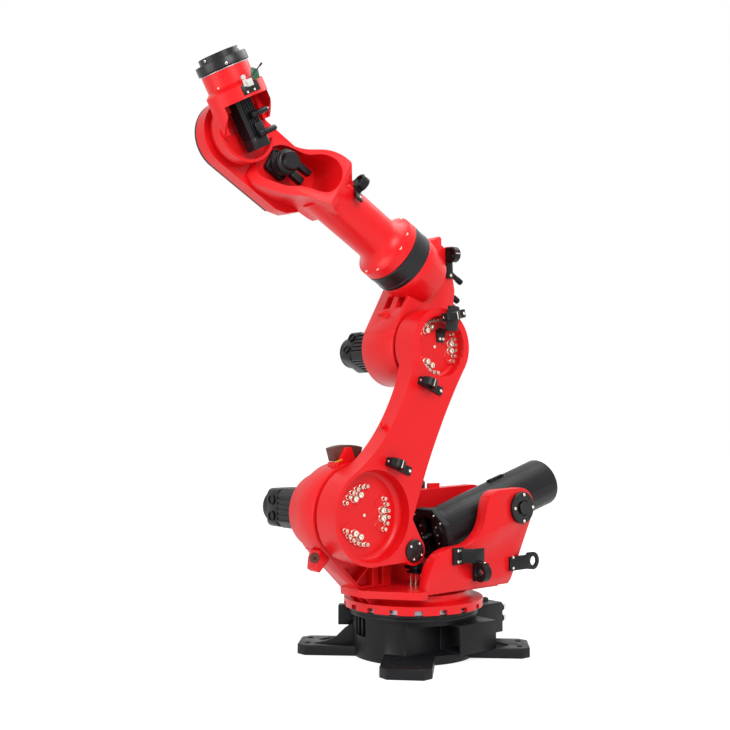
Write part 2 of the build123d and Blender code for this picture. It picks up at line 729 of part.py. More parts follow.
def hose_clamp(at):
    """Open hose clamp: at's first axis runs across the hose, its second away from the surface."""
    with BuildPart() as clamp:
        with BuildSketch(at):
            with Locations((22, 7)):
                Rectangle(178, 14)
            with Locations((-22, 26)):
                Rectangle(88, 26)
            with Locations((-22, 40)):
                Circle(44)
            with Locations((-22, 40)):
                Circle(29, mode=Mode.SUBTRACT)
            with Locations((0, -50)):
                Rectangle(300, 100, mode=Mode.SUBTRACT)
        extrude(amount=46)
    return clamp.part


def clamp_plane(side, first, second, turn):
    """Plane for a hose clamp standing on a side plane, its hose turned by an angle from the second axis."""
    origin = side.from_local_coords((first, second, 0))
    across_hose = side.x_dir * cos(radians(turn)) + side.y_dir * sin(radians(turn))
    return Plane(origin=origin, x_dir=across_hose * -1, z_dir=across_hose.cross(Vector(0, 1, 0)) * -1)


arm_clamps = [hose_clamp(clamp_plane(arm_side(ARM_NEAR_Y), 4, along, -8)) for along in (312, 790)]
save(Compound(children=arm_clamps), "arm_hose_clamps")

with BuildPart() as rod_pin:
    with BuildSketch(arm_side(ARM_NEAR_Y)):
        with Locations((EAR_LOCAL.X, EAR_LOCAL.Y)):
            Circle(60)
    extrude(amount=-14)
    with BuildSketch(arm_side(ARM_NEAR_Y)):
        with Locations((EAR_LOCAL.X, EAR_LOCAL.Y)):
            Circle(30)
    extrude(amount=ARM_NEAR_Y - CYLINDER_Y + EYE_HALF)
save(rod_pin.part, "rod_pin")

# Reducer flanges carried by the lower arm, with spigots into the housings
with BuildPart() as shoulder_reducer:
    with BuildSketch(arm_side(ARM_FAR_Y)):
        Circle(REDUCER_R)
    extrude(amount=14)
    with BuildSketch(arm_side(ARM_FAR_Y)):
        Circle(SHOULDER_BORE_R)
    extrude(amount=44)
save(shoulder_reducer.part, "shoulder_reducer")

ELBOW_BORE_R = 90.0
with BuildPart() as elbow_reducer:
    with BuildSketch(arm_side(ARM_FAR_Y)):
        with Locations((0, LOWER_ARM_LENGTH)):
            Circle(198)
    extrude(amount=14)
    with BuildSketch(arm_side(ARM_FAR_Y)):
        with Locations((0, LOWER_ARM_LENGTH)):
            Circle(ELBOW_BORE_R)
    extrude(amount=44)
save(elbow_reducer.part, "elbow_reducer")

# Elbow casting: joint drum, pocketed body and the boss that carries the forearm collar
ELBOW_FRONT = 214.0
with BuildPart() as elbow_casting:
    with BuildSketch(elbow_side(ELBOW_NEAR_Y)):
        Circle(ELBOW_R)
        with BuildLine():
            Polyline(
                (ELBOW_FRONT, -20),
                (ELBOW_FRONT, 285),
                (COLLAR_REAR - 40, ELBOW_OFFSET - 20),
                (COLLAR_REAR - 40, ELBOW_OFFSET + 170),
                (205, 596),
                (186, 630),
                (166, 630),
                (148, 596),
                (112, 596),
                (96, 624),
                (78, 624),
                (60, 575),
                (-66, 425),
                (-136, 250),
                (-205, 40),
                (0, -100),
                close=True,
            )
        make_face()
    extrude(amount=ELBOW_NEAR_Y - ELBOW_FAR_Y)
    with BuildSketch(across(forearm_side(0), 110)):
        Circle(150)
    with BuildSketch(across(forearm_side(0), COLLAR_REAR - 40)):
        Circle(COLLAR_R - 2)
    loft()
    with BuildSketch(across(forearm_side(0), COLLAR_REAR - 40)):
        Circle(COLLAR_R - 2)
    extrude(amount=40)
    with BuildSketch(across(elbow_side(0), ELBOW_FRONT)):
        with Locations((-105, 178), (-5, 178)):
            Rectangle(50, 88)
    extrude(amount=-60, mode=Mode.SUBTRACT)
    with BuildSketch(across(elbow_side(0), ELBOW_FRONT - 4)):
        with Locations((-105, 96)):
            Rectangle(64, 22)
    extrude(amount=26)
    with BuildSketch(elbow_side(ELBOW_NEAR_Y)):
        Circle(ELBOW_BORE_R + RUN_GAP)
    extrude(amount=30, mode=Mode.SUBTRACT)
save(elbow_casting.part, "elbow_casting")

# Hose clamp and cable connectors on the near side of the elbow
elbow_clamp = hose_clamp(clamp_plane(elbow_side(ELBOW_NEAR_Y), 40, 562, 16))
save(elbow_clamp, "elbow_hose_clamp")

with BuildPart() as elbow_connectors:
    with BuildSketch(across(elbow_side(0), 6)):
        with Locations((14, 515)):
            Circle(15)
    extrude(amount=-118)
    with BuildSketch(across(elbow_side(0), -72)):
        with Locations((20, 402), (20, 350)):
            Circle(16)
    extrude(amount=-66)
    with BuildSketch(elbow_side(ELBOW_NEAR_Y)):
        with BuildLine():
            Polyline((60, 575), (-66, 425), (-136, 250), (150, 250), (150, 575), close=True)
        make_face()
    extrude(amount=ELBOW_NEAR_Y - ELBOW_FAR_Y, mode=Mode.SUBTRACT)
save(elbow_connectors.part, "elbow_connectors")

with BuildPart() as forearm_collar:
    with BuildSketch(across(forearm_side(0), COLLAR_REAR)):
        Circle(COLLAR_R)
    extrude(amount=COLLAR_FRONT - COLLAR_REAR - 6)
    with BuildSketch(across(forearm_side(0), COLLAR_REAR)):
        Circle(100)
    extrude(amount=COLLAR_FRONT - COLLAR_REAR + 30)
save(forearm_collar.part, "forearm_collar")

# Forearm: collar flange, tube, slanted drive bay and the wrist paddle on the far side
BAY_RIM_REAR = (955.0, 145.0)
BAY_RIM_FRONT = (1290.0, -95.0)
BAY_FLOOR_Y = -112.0
MOTOR_ALONG = 1202.0
rim_dir = forearm_side(0).x_dir * (BAY_RIM_FRONT[0] - BAY_RIM_REAR[0])
rim_dir += Vector(0, BAY_RIM_FRONT[1] - BAY_RIM_REAR[1], 0)
rim_normal = rim_dir.cross(forearm_side(0).y_dir)
if rim_normal.Y < 0:
    rim_normal = rim_normal * -1
rim_origin = forearm_side(BAY_RIM_REAR[1]).from_local_coords((BAY_RIM_REAR[0], 0, 0))
with BuildPart() as forearm_casting:
    with BuildSketch(forearm_side(165)):
        with BuildLine():
            Spline(
                (860, 100),
                (905, 126),
                (1000, 174),
                (1067, 168),
                (1145, 124),
                (1225, 110),
                (1276, 112),
                (1318, 92),
            )
            Polyline((1318, 92), (1318, -150))
            Spline(
                (1318, -150),
                (1254, -176),
                (1192, -172),
                (1123, -158),
                (1062, -130),
                (1003, -116),
                (940, -112),
                (860, -100),
            )
            Polyline((860, -100), (860, 100))
        make_face()
    extrude(amount=165 - PADDLE_NEAR_Y)
    top_plane = Plane(origin=(AXIS_X, 0, AXIS_Z), x_dir=(RISE_COS, 0, RISE_SIN), z_dir=(-RISE_SIN, 0, RISE_COS))
    with BuildSketch(top_plane):
        with BuildLine():
            Polyline((850, 260), (960, 260), (960, 145), (948, 145), (876, 98), (850, 98), close=True)
        make_face()
    extrude(amount=300, both=True, mode=Mode.SUBTRACT)
    with BuildSketch(forearm_side(0)):
        with BuildLine():
            Polyline((COLLAR_FRONT, 0), (COLLAR_FRONT, COLLAR_R), (COLLAR_FRONT + 48, COLLAR_R - 2))
            Spline(
                (COLLAR_FRONT + 48, COLLAR_R - 2),
                (COLLAR_FRONT + 76, 148),
                (COLLAR_FRONT + 150, TUBE_R),
            )
            Polyline((COLLAR_FRONT + 150, TUBE_R), (990, TUBE_R), (990, 0), (COLLAR_FRONT, 0))
        make_face()
    revolve(axis=Axis((AXIS_X, 0, AXIS_Z), (RISE_COS, 0, RISE_SIN)), revolution_arc=360)
    with BuildSketch(Plane(origin=rim_origin, x_dir=rim_dir, z_dir=rim_normal)):
        with Locations((200, 0)):
            Rectangle(560, 600)
    extrude(amount=260, mode=Mode.SUBTRACT)
    with BuildSketch(forearm_side(200)):
        with Locations((FOREARM_LENGTH, 0)):
            Circle(WRIST_R + 7)
    extrude(amount=200 - BOSS_NEAR_Y, mode=Mode.SUBTRACT)
    with BuildSketch(forearm_side(PADDLE_NEAR_Y)):
        with BuildLine():
            Polyline((1085, -PADDLE_LOW), (FOREARM_LENGTH, -PADDLE_LOW))
            RadiusArc((FOREARM_LENGTH, -PADDLE_LOW), (FOREARM_LENGTH, PADDLE_HIGH), -PADDLE_END_R)
            Polyline((FOREARM_LENGTH, PADDLE_HIGH), (1080, PADDLE_HIGH))
            Polyline((1080, PADDLE_HIGH), (900, 100), (900, -50), (965, -118), (1020, -168), (1085, -PADDLE_LOW))
        make_face()
    extrude(amount=PADDLE_NEAR_Y - PADDLE_FAR_Y)
    with BuildSketch(forearm_side(BOSS_NEAR_Y)):
        with Locations((FOREARM_LENGTH, 0)):
            Circle(BOSS_R)
    extrude(amount=BOSS_NEAR_Y - PADDLE_NEAR_Y)
    with BuildSketch(forearm_side(200)):
        with BuildLine():
            Spline(
                (1292, -97),
                (1288, 40),
                (1240, 92),
                (1132, 98),
                (1072, 136),
                (1010, 132),
                (966, 76),
                (962, -13),
                (985, -58),
                (1039, -74),
                (1094, -86),
                (1146, -114),
                (1207, -124),
                (1262, -124),
                (1292, -97),
            )
        make_face()
    extrude(amount=200 - BAY_FLOOR_Y, mode=Mode.SUBTRACT)
    with BuildSketch(forearm_side(BOSS_NEAR_Y)):
        with Locations((FOREARM_LENGTH, 0)):
            Circle(80 + RUN_GAP)
    extrude(amount=40, mode=Mode.SUBTRACT)
    with BuildSketch(across(forearm_side(0), COLLAR_FRONT)):
        Circle(100 + RUN_GAP)
    extrude(amount=36, mode=Mode.SUBTRACT)
save(forearm_casting.part, "forearm_casting")

# Wrist drive motor standing in the bay
with BuildPart() as wrist_drive_motor:
    with BuildSketch(forearm_side(14)):
        with Locations((MOTOR_ALONG, 0)):
            RectangleRounded(126, 126, 24)
    extrude(amount=14 - BAY_FLOOR_Y)
    with BuildSketch(forearm_side(37)):
        with Locations((MOTOR_ALONG, 0)):
            Circle(48)
    extrude(amount=23)
    with BuildSketch(forearm_side(4)):
        with Locations((MOTOR_ALONG - 96, 34)):
            Rectangle(90, 46)
        with Locations((MOTOR_ALONG - 90, -30)):
            Rectangle(78, 40)
    extrude(amount=44)
save(wrist_drive_motor.part, "wrist_drive_motor")

along_tube = Vector(RISE_COS, 0, RISE_SIN)
off_tube = Vector(-RISE_SIN, 1.2, RISE_COS).normalized()
clamp_seat = Vector(AXIS_X, 0, AXIS_Z) + along_tube * 808 + off_tube * TUBE_R
forearm_clamp = hose_clamp(Plane(origin=clamp_seat, x_dir=off_tube.cross(along_tube), z_dir=along_tube))
save(forearm_clamp, "forearm_hose_clamp")

with BuildPart() as belt_cover:
    with BuildSketch(forearm_side(PADDLE_FAR_Y)):
        with BuildLine():
            Polyline((1085, -PADDLE_LOW), (FOREARM_LENGTH, -PADDLE_LOW))
            RadiusArc((FOREARM_LENGTH, -PADDLE_LOW), (FOREARM_LENGTH, PADDLE_HIGH), -PADDLE_END_R)
            Polyline((FOREARM_LENGTH, PADDLE_HIGH), (1085, PADDLE_HIGH), (1085, -PADDLE_LOW))
        make_face()
    extrude(amount=18)
save(belt_cover.part, "belt_cover")

# Wrist: open cup on the wrist joint, round body and flange neck
BODY_BOTTOM = 135.0
BODY_TOP = 200.0
with BuildPart() as wrist_casting:
    with BuildSketch(across(wrist_side(0), 0)):
        Circle(WRIST_BODY_R)
        with Locations((-60, 0)):
            Rectangle(120, 2 * WRIST_BODY_R)
    extrude(amount=BODY_BOTTOM)
    cup_cut = wrist_side(CUP_NEAR_Y)
    slant = cup_cut.x_dir + Vector(0, 1, 0)
    with BuildSketch(Plane(origin=cup_cut.origin, x_dir=slant, z_dir=slant.cross(cup_cut.y_dir) * -1)):
        Rectangle(900, 400)
    extrude(amount=300, mode=Mode.SUBTRACT)
    with BuildSketch(across(wrist_side(0), BODY_BOTTOM)):
        Circle(WRIST_BODY_R)
    extrude(amount=BODY_TOP - BODY_BOTTOM)
    with BuildSketch(across(wrist_side(0), BODY_TOP)):
        Circle(WRIST_BODY_R)
    with BuildSketch(across(wrist_side(0), BODY_TOP + 22)):
        Circle(FLANGE_RING_R)
    loft()
    with BuildSketch(wrist_side(WRIST_BODY_FAR_Y)):
        Rectangle(700, 400)
    extrude(amount=200, mode=Mode.SUBTRACT)
    with BuildSketch(across(wrist_side(0), BODY_TOP)):
        Circle(FLANGE_RING_R)
    extrude(amount=FLANGE_NECK_TOP - BODY_TOP)
    with BuildSketch(wrist_side(CUP_NEAR_Y)):
        Circle(WRIST_R)
    extrude(amount=CUP_NEAR_Y - CUP_FAR_Y)
    with BuildSketch(across(wrist_side(0), 0)):
        Circle(FLANGE_RING_R - 8)
    extrude(amount=BODY_TOP + 14, mode=Mode.SUBTRACT)
    with BuildSketch(wrist_side(WRIST_BODY_R)):
        with Locations((BODY_BOTTOM / 2, 0)):
            Rectangle(BODY_BOTTOM, 2 * WRIST_BODY_R - 28)
    extrude(amount=WRIST_BODY_R - WRIST_BODY_FAR_Y - 14, mode=Mode.SUBTRACT)
    with BuildSketch(wrist_side(CUP_NEAR_Y)):
        Circle(CUP_INNER_R)
        with Locations((BODY_BOTTOM + 100, 0)):
            Rectangle(200, 400, mode=Mode.SUBTRACT)
    extrude(amount=CUP_NEAR_Y - CUP_FAR_Y - 14, mode=Mode.SUBTRACT)
    with BuildSketch(wrist_side(CUP_NEAR_Y + 60)):
        with Locations((-38, 150)):
            Rectangle(96, 70)
    extrude(amount=CUP_NEAR_Y + 60 - CUP_FAR_Y - 16, mode=Mode.SUBTRACT)
    with BuildSketch(wrist_side(CUP_FAR_Y)):
        Circle(80)
    extrude(amount=40)
save(wrist_casting.part, "wrist_casting")

# Tool drive motor inside the wrist, on the flange axis
with BuildPart() as flange_motor:
    with BuildSketch(across(wrist_side(0), -108)):
        RectangleRounded(100, 100, 18)
    extrude(amount=108 + BODY_TOP)
    with BuildSketch(across(wrist_side(22), -60)):
        with Locations((0, 92)):
            Rectangle(32, 96)
    extrude(amount=30)
    with BuildSketch(across(wrist_side(22), 40)):
        with Locations((0, 80)):
            Rectangle(32, 72)
    extrude(amount=26)
save(flange_motor.part, "flange_motor")

with BuildPart() as flange_seal_ring:
    with BuildSketch(across(wrist_side(0), FLANGE_NECK_TOP)):
        Circle(FLANGE_RING_R - 2)
    extrude(amount=5)
save(flange_seal_ring.part, "flange_seal_ring")

with BuildPart() as tool_flange:
    with BuildSketch(across(wrist_side(0), FLANGE_NECK_TOP + 8)):
        Circle(FLANGE_R)
    extrude(amount=44)
    with BuildSketch(across(wrist_side(0), FLANGE_NECK_TOP + 52)):
        Circle(FLANGE_SMALL_R)
    extrude(amount=FLANGE_FACE - FLANGE_NECK_TOP - 52)
    with BuildSketch(across(wrist_side(0), FLANGE_FACE)):
        with PolarLocations(FLANGE_PCD / 2, 6):
            Circle(FLANGE_HOLE_R)
        Circle(31.5)
    extrude(amount=-18, mode=Mode.SUBTRACT)
save(tool_flange.part, "tool_flange")
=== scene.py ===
import json
import logging
import math
from collections.abc import Iterable, Sequence
from dataclasses import dataclass
from enum import Enum
from typing import Optional

import bpy
from mathutils import Matrix, Vector


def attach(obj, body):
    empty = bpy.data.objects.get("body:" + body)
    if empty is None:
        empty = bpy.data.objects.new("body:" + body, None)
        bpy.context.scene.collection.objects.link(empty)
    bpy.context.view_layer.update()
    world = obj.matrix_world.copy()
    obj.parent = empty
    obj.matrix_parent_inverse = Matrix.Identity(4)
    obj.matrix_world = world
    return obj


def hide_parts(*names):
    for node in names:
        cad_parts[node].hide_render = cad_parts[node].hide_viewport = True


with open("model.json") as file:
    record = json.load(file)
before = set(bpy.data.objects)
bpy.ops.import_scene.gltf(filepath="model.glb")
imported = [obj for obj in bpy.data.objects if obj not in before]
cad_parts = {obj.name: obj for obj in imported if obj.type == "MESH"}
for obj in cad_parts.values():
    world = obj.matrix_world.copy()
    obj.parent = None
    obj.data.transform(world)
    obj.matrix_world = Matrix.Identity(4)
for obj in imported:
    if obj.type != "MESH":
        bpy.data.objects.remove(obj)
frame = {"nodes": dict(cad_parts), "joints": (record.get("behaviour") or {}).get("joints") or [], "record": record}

LOG = logging.getLogger("robot_arm")
MM = 0.001
WELD_MM = 0.01

Outline = Sequence[tuple[float, float]]
Piece = bpy.types.Object
Socket = bpy.types.NodeSocket
Tree = bpy.types.NodeTree

HERE = Matrix.Identity(4)
FORWARD, BACKWARD = Vector((1, 0, 0)), Vector((-1, 0, 0))
NEARWARD, FARWARD = Vector((0, 1, 0)), Vector((0, -1, 0))
UPWARD = Vector((0, 0, 1))


class Slot(Enum):
    """Material slots of the record, named by what the real surface is."""

    RED_PAINT = "red_paint"
    BLACK_CASTING = "black_casting"
    BLACK_MOTOR = "black_motor"
    BLACK_STEEL = "black_steel"
    BEARING_STEEL = "bearing_steel"
    ROD_STEEL = "rod_steel"
    BROWN_RUBBER = "brown_rubber"
    BLACK_PLASTIC = "black_plastic"


class Texture(Enum):
    """How a surface was made, which decides its bump pattern."""

    CAST = "cast"
    TURNED = "turned"
    MOULDED = "moulded"


def linear(hex_colour: str) -> tuple[float, float, float, float]:
    """Turn an sRGB hex colour into the linear colour that the shaders take.

    Args:
        hex_colour: Colour as "#rrggbb".

    Returns:
        Red, green, blue and alpha, linear.
    """
    channels = [int(hex_colour[i : i + 2], 16) / 255 for i in (1, 3, 5)]
    red, green, blue = (
        c / 12.92 if c <= 0.04045 else ((c + 0.055) / 1.055) ** 2.4 for c in channels
    )
    return (red, green, blue, 1.0)


def add_node(tree: Tree, kind: str, settings: Optional[dict] = None, **inputs) -> bpy.types.Node:
    """Add one shader node with its settings and links.

    Args:
        tree: Node tree of the material.
        kind: Blender's node type name.
        settings: Properties of the node, such as an operation.
        inputs: Socket name, with spaces as underscores, to a value or an output socket.

    Returns:
        The new node.
    """
    node = tree.nodes.new(kind)
    for name, value in (settings or {}).items():
        setattr(node, name, value)
    for name, value in inputs.items():
        key = int(name[1:]) if name[0] == "i" and name[1:].isdigit() else name.replace("_", " ")
        socket = node.inputs[key]
        if isinstance(value, Socket):
            tree.links.new(value, socket)
        else:
            socket.default_value = value
    return node


def blend(
    tree: Tree, share: Socket, first: object, second: object
) -> Socket:
    """Mix two colours, each a value or an output socket, in a node tree."""
    mix = add_node(tree, "ShaderNodeMix", {"data_type": "RGBA"}, Factor=share, i6=first, i7=second)
    return mix.outputs[2]


@dataclass(frozen=True)
class Finish:
    """One real surface finish, made as a procedural material.

    Attributes:
        name: Common name of the material and how its surface was made.
        slot: Slot of the record that the finish stands for.
        colour: Main colour, sRGB hex.
        shade: Second colour that the first one varies towards, sRGB hex.
        roughness: Roughness of the smooth and of the dull patches.
        metallic: 1 for bare metal, 0 for paint, rubber and plastic.
        texture: How the surface was made.
        grain_mm: Size of the surface's grain in millimetres.
        bump_mm: Height of that grain in millimetres.
        worn: Colour of worn specks, sRGB hex, or nothing.
        sheen_level: Strength of the plain surface reflection, 0.5 for most plastics and paints.
    """

    name: str
    slot: Slot
    colour: str
    shade: str
    roughness: tuple[float, float]
    metallic: float = 0.0
    texture: Texture = Texture.CAST
    grain_mm: float = 14.0
    bump_mm: float = 0.4
    worn: str = ""
    sheen_level: float = 0.5

    def make(self) -> bpy.types.Material:
        """Build the node material.

        Returns:
            The material.
        """
        material = bpy.data.materials.new(self.name)
        material.use_nodes = True
        tree = material.node_tree
        shader = next(n for n in tree.nodes if n.type == "BSDF_PRINCIPLED")
        place = add_node(tree, "ShaderNodeTexCoord").outputs["Object"]
        # Patches a hand wide, as paint and dust vary over a casting
        cloud = add_node(
            tree, "ShaderNodeTexNoise", Vector=place, Scale=5.0, Detail=5.0, Roughness=0.6
        )
        tint = blend(tree, cloud.outputs["Fac"], linear(self.colour), linear(self.shade))
        if self.worn:
            tint = self.wear(tree, place, tint)
        tree.links.new(tint, shader.inputs["Base Color"])
        gloss = add_node(
            tree,
            "ShaderNodeMapRange",
            Value=cloud.outputs["Fac"],
            i1=0.35,
            i2=0.65,
            i3=self.roughness[0],
            i4=self.roughness[1],
        )
        tree.links.new(gloss.outputs["Result"], shader.inputs["Roughness"])
        bump = add_node(
            tree,
            "ShaderNodeBump",
            Height=self.grain(tree, place),
            Distance=self.bump_mm * MM,
            Strength=0.6,
        )
        tree.links.new(bump.outputs["Normal"], shader.inputs["Normal"])
        shader.inputs["Metallic"].default_value = self.metallic
        shader.inputs["Specular IOR Level"].default_value = self.sheen_level
        return material

    def grain(self, tree: Tree, place: Socket) -> Socket:
        """Add the height pattern of the surface.

        Args:
            tree: Node tree of the material.
            place: Object coordinates.

        Returns:
            Height output of the pattern.
        """
        scale = 1 / (self.grain_mm * MM)
        if self.texture is Texture.TURNED:
            # Tool marks of turning are under a millimetre apart, so they are drawn coarser to show
            rings = add_node(
                tree, "ShaderNodeTexWave", {"bands_direction": "Z"}, Vector=place, Scale=scale / 6
            )
            return rings.outputs["Fac"]
        detail = 2.0 if self.texture is Texture.MOULDED else 6.0
        noise = add_node(
            tree, "ShaderNodeTexNoise", Vector=place, Scale=scale, Detail=detail, Roughness=0.55
        )
        return noise.outputs["Fac"]

    def wear(
        self, tree: Tree, place: Socket, tint: Socket
    ) -> Socket:
        """Mix worn specks of a few millimetres into the colour.

        Args:
            tree: Node tree of the material.
            place: Object coordinates.
            tint: Colour to wear.

        Returns:
            The worn colour.
        """
        specks = add_node(
            tree, "ShaderNodeTexNoise", Vector=place, Scale=160.0, Detail=3.0, Roughness=0.7
        )
        few = add_node(
            tree,
            "ShaderNodeMapRange",
            Value=specks.outputs["Fac"],
            i1=0.64,
            i2=0.72,
            i3=0.0,
            i4=0.55,
        )
        return blend(tree, few.outputs["Result"], tint, linear(self.worn))


# Semi-gloss enamel sprayed over cast iron: an even saturated red with a soft sheen. Its orange peel
# is 2 to 4 mm wide, too fine for the render, so its grain is drawn 9 mm wide and very low.
RED_ENAMEL = Finish(
    "semi_gloss_red_enamel_on_cast_iron",
    Slot.RED_PAINT,
    "#e01118",
    "#d30c12",
    (0.30, 0.38),
    grain_mm=9,
    bump_mm=0.12,
    sheen_level=0.32,
)
# Satin black paint over a sand casting: its broad soft highlight is broken by the casting's skin.
CAST_BLACK = Finish(
    "satin_black_paint_on_cast_iron",
    Slot.BLACK_CASTING,
    "#17171a",
    "#101012",
    (0.34, 0.46),
    grain_mm=16,
    bump_mm=0.5,
    worn="#3a3a3d",
    sheen_level=0.2,
)
# Satin black paint over aluminium: smoother than the castings, with fin edges that catch light.
MOTOR_BLACK = Finish(
    "satin_black_paint_on_aluminium",
    Slot.BLACK_MOTOR,
    "#161619",
    "#101013",
    (0.30, 0.40),
    grain_mm=10,
    bump_mm=0.25,
    sheen_level=0.25,
)
# Black oxide on turned and milled steel: nearly black with a metal's sharp streak of light.
OXIDE_BLACK = Finish(
    "black_oxide_on_turned_steel",
    Slot.BLACK_STEEL,
    "#161618",
    "#101012",
    (0.26, 0.36),
    texture=Texture.TURNED,
    grain_mm=6,
    bump_mm=0.05,
    sheen_level=0.3,
    worn="#4a4a4d",
)
# Ground bearing steel, lightly oiled: mid grey with fine rings.
GROUND_STEEL = Finish(
    "ground_bearing_steel",
    Slot.BEARING_STEEL,
    "#a4a4a8",
    "#8c8c90",
    (0.30, 0.42),
    metallic=1.0,
    texture=Texture.TURNED,
    grain_mm=6,
    bump_mm=0.05,
)
# Hard chrome on a ground rod: bright and almost mirror-like.
HARD_CHROME = Finish(
    "hard_chrome_on_ground_steel",
    Slot.ROD_STEEL,
    "#d6d6da",
    "#c8c8cc",
    (0.12, 0.18),
    metallic=1.0,
    texture=Texture.TURNED,
    grain_mm=6,
    bump_mm=0.02,
)
# Zinc plate on forged screws: bright, slightly warm, softer than chrome.
ZINC = Finish(
    "bright_zinc_plate_on_forged_steel",
    Slot.ROD_STEEL,
    "#efe6da",
    "#d9cfc2",
    (0.22, 0.32),
    metallic=1.0,
    texture=Texture.MOULDED,
    grain_mm=5,
    bump_mm=0.05,
)
# Moulded brown rubber: dull, with a warm dark tone.
RUBBER = Finish(
    "moulded_brown_rubber",
    Slot.BROWN_RUBBER,
    "#5a2416",
    "#45190e",
    (0.5, 0.65),
    texture=Texture.MOULDED,
    grain_mm=8,
    bump_mm=0.3,
)
# Moulded black nylon: near black with a soft, slightly grained gloss.
NYLON = Finish(
    "moulded_black_nylon",
    Slot.BLACK_PLASTIC,
    "#111113",
    "#0c0c0e",
    (0.32, 0.44),
    texture=Texture.MOULDED,
    grain_mm=7,
    bump_mm=0.2,
    sheen_level=0.22,
)
# White moulded plastic and green lacquered board of the small switch parts on the wrist.
WHITE_PLASTIC = Finish(
    "moulded_white_plastic",
    Slot.BLACK_PLASTIC,
    "#c9c9c4",
    "#bdbdb8",
    (0.35, 0.45),
    texture=Texture.MOULDED,
    grain_mm=6,
    bump_mm=0.1,
)
GREEN_BOARD = Finish(
    "green_lacquered_circuit_board",
    Slot.BLACK_PLASTIC,
    "#1f5b38",
    "#174a2c",
    (0.3, 0.4),
    texture=Texture.MOULDED,
    grain_mm=5,
    bump_mm=0.1,
)
# Moulded yellow nylon: a small warm accent under the stop block.
YELLOW_NYLON = Finish(
    "moulded_yellow_nylon",
    Slot.BLACK_PLASTIC,
    "#d8a11e",
    "#c48f14",
    (0.4, 0.5),
    texture=Texture.MOULDED,
    grain_mm=6,
    bump_mm=0.1,
)

SLOT_FINISH = {
    finish.slot: finish
    for finish in (
        RED_ENAMEL, CAST_BLACK, MOTOR_BLACK, OXIDE_BLACK, GROUND_STEEL, HARD_CHROME, RUBBER, NYLON
    )
}


def moved_by(x: float, y: float, z: float) -> Matrix:
    """Give a move in millimetres."""
    return Matrix.Translation((x, y, z))


def turned_by(degrees: float, axis: str) -> Matrix:
    """Give a turn about the X, Y or Z axis."""
    return Matrix.Rotation(math.radians(degrees), 4, axis)


def oblong(left: float, right: float, low: float, high: float) -> list[tuple[float, float]]:
    """Give the four corners of an upright rectangle."""
    return [(left, low), (right, low), (right, high), (left, high)]


class Shelf:
    """Materials made so far, one for each finish.

    Attributes:
        made: Material of each finish, by the finish's name.
    """

    made: dict[str, bpy.types.Material] = {}

    @classmethod
    def get(cls, finish: Finish) -> bpy.types.Material:
        """Give the material of a finish, made once.

        Args:
            finish: Finish that is wanted.

        Returns:
            Its material.
        """
        if finish.name not in cls.made:
            cls.made[finish.name] = finish.make()
        return cls.made[finish.name]


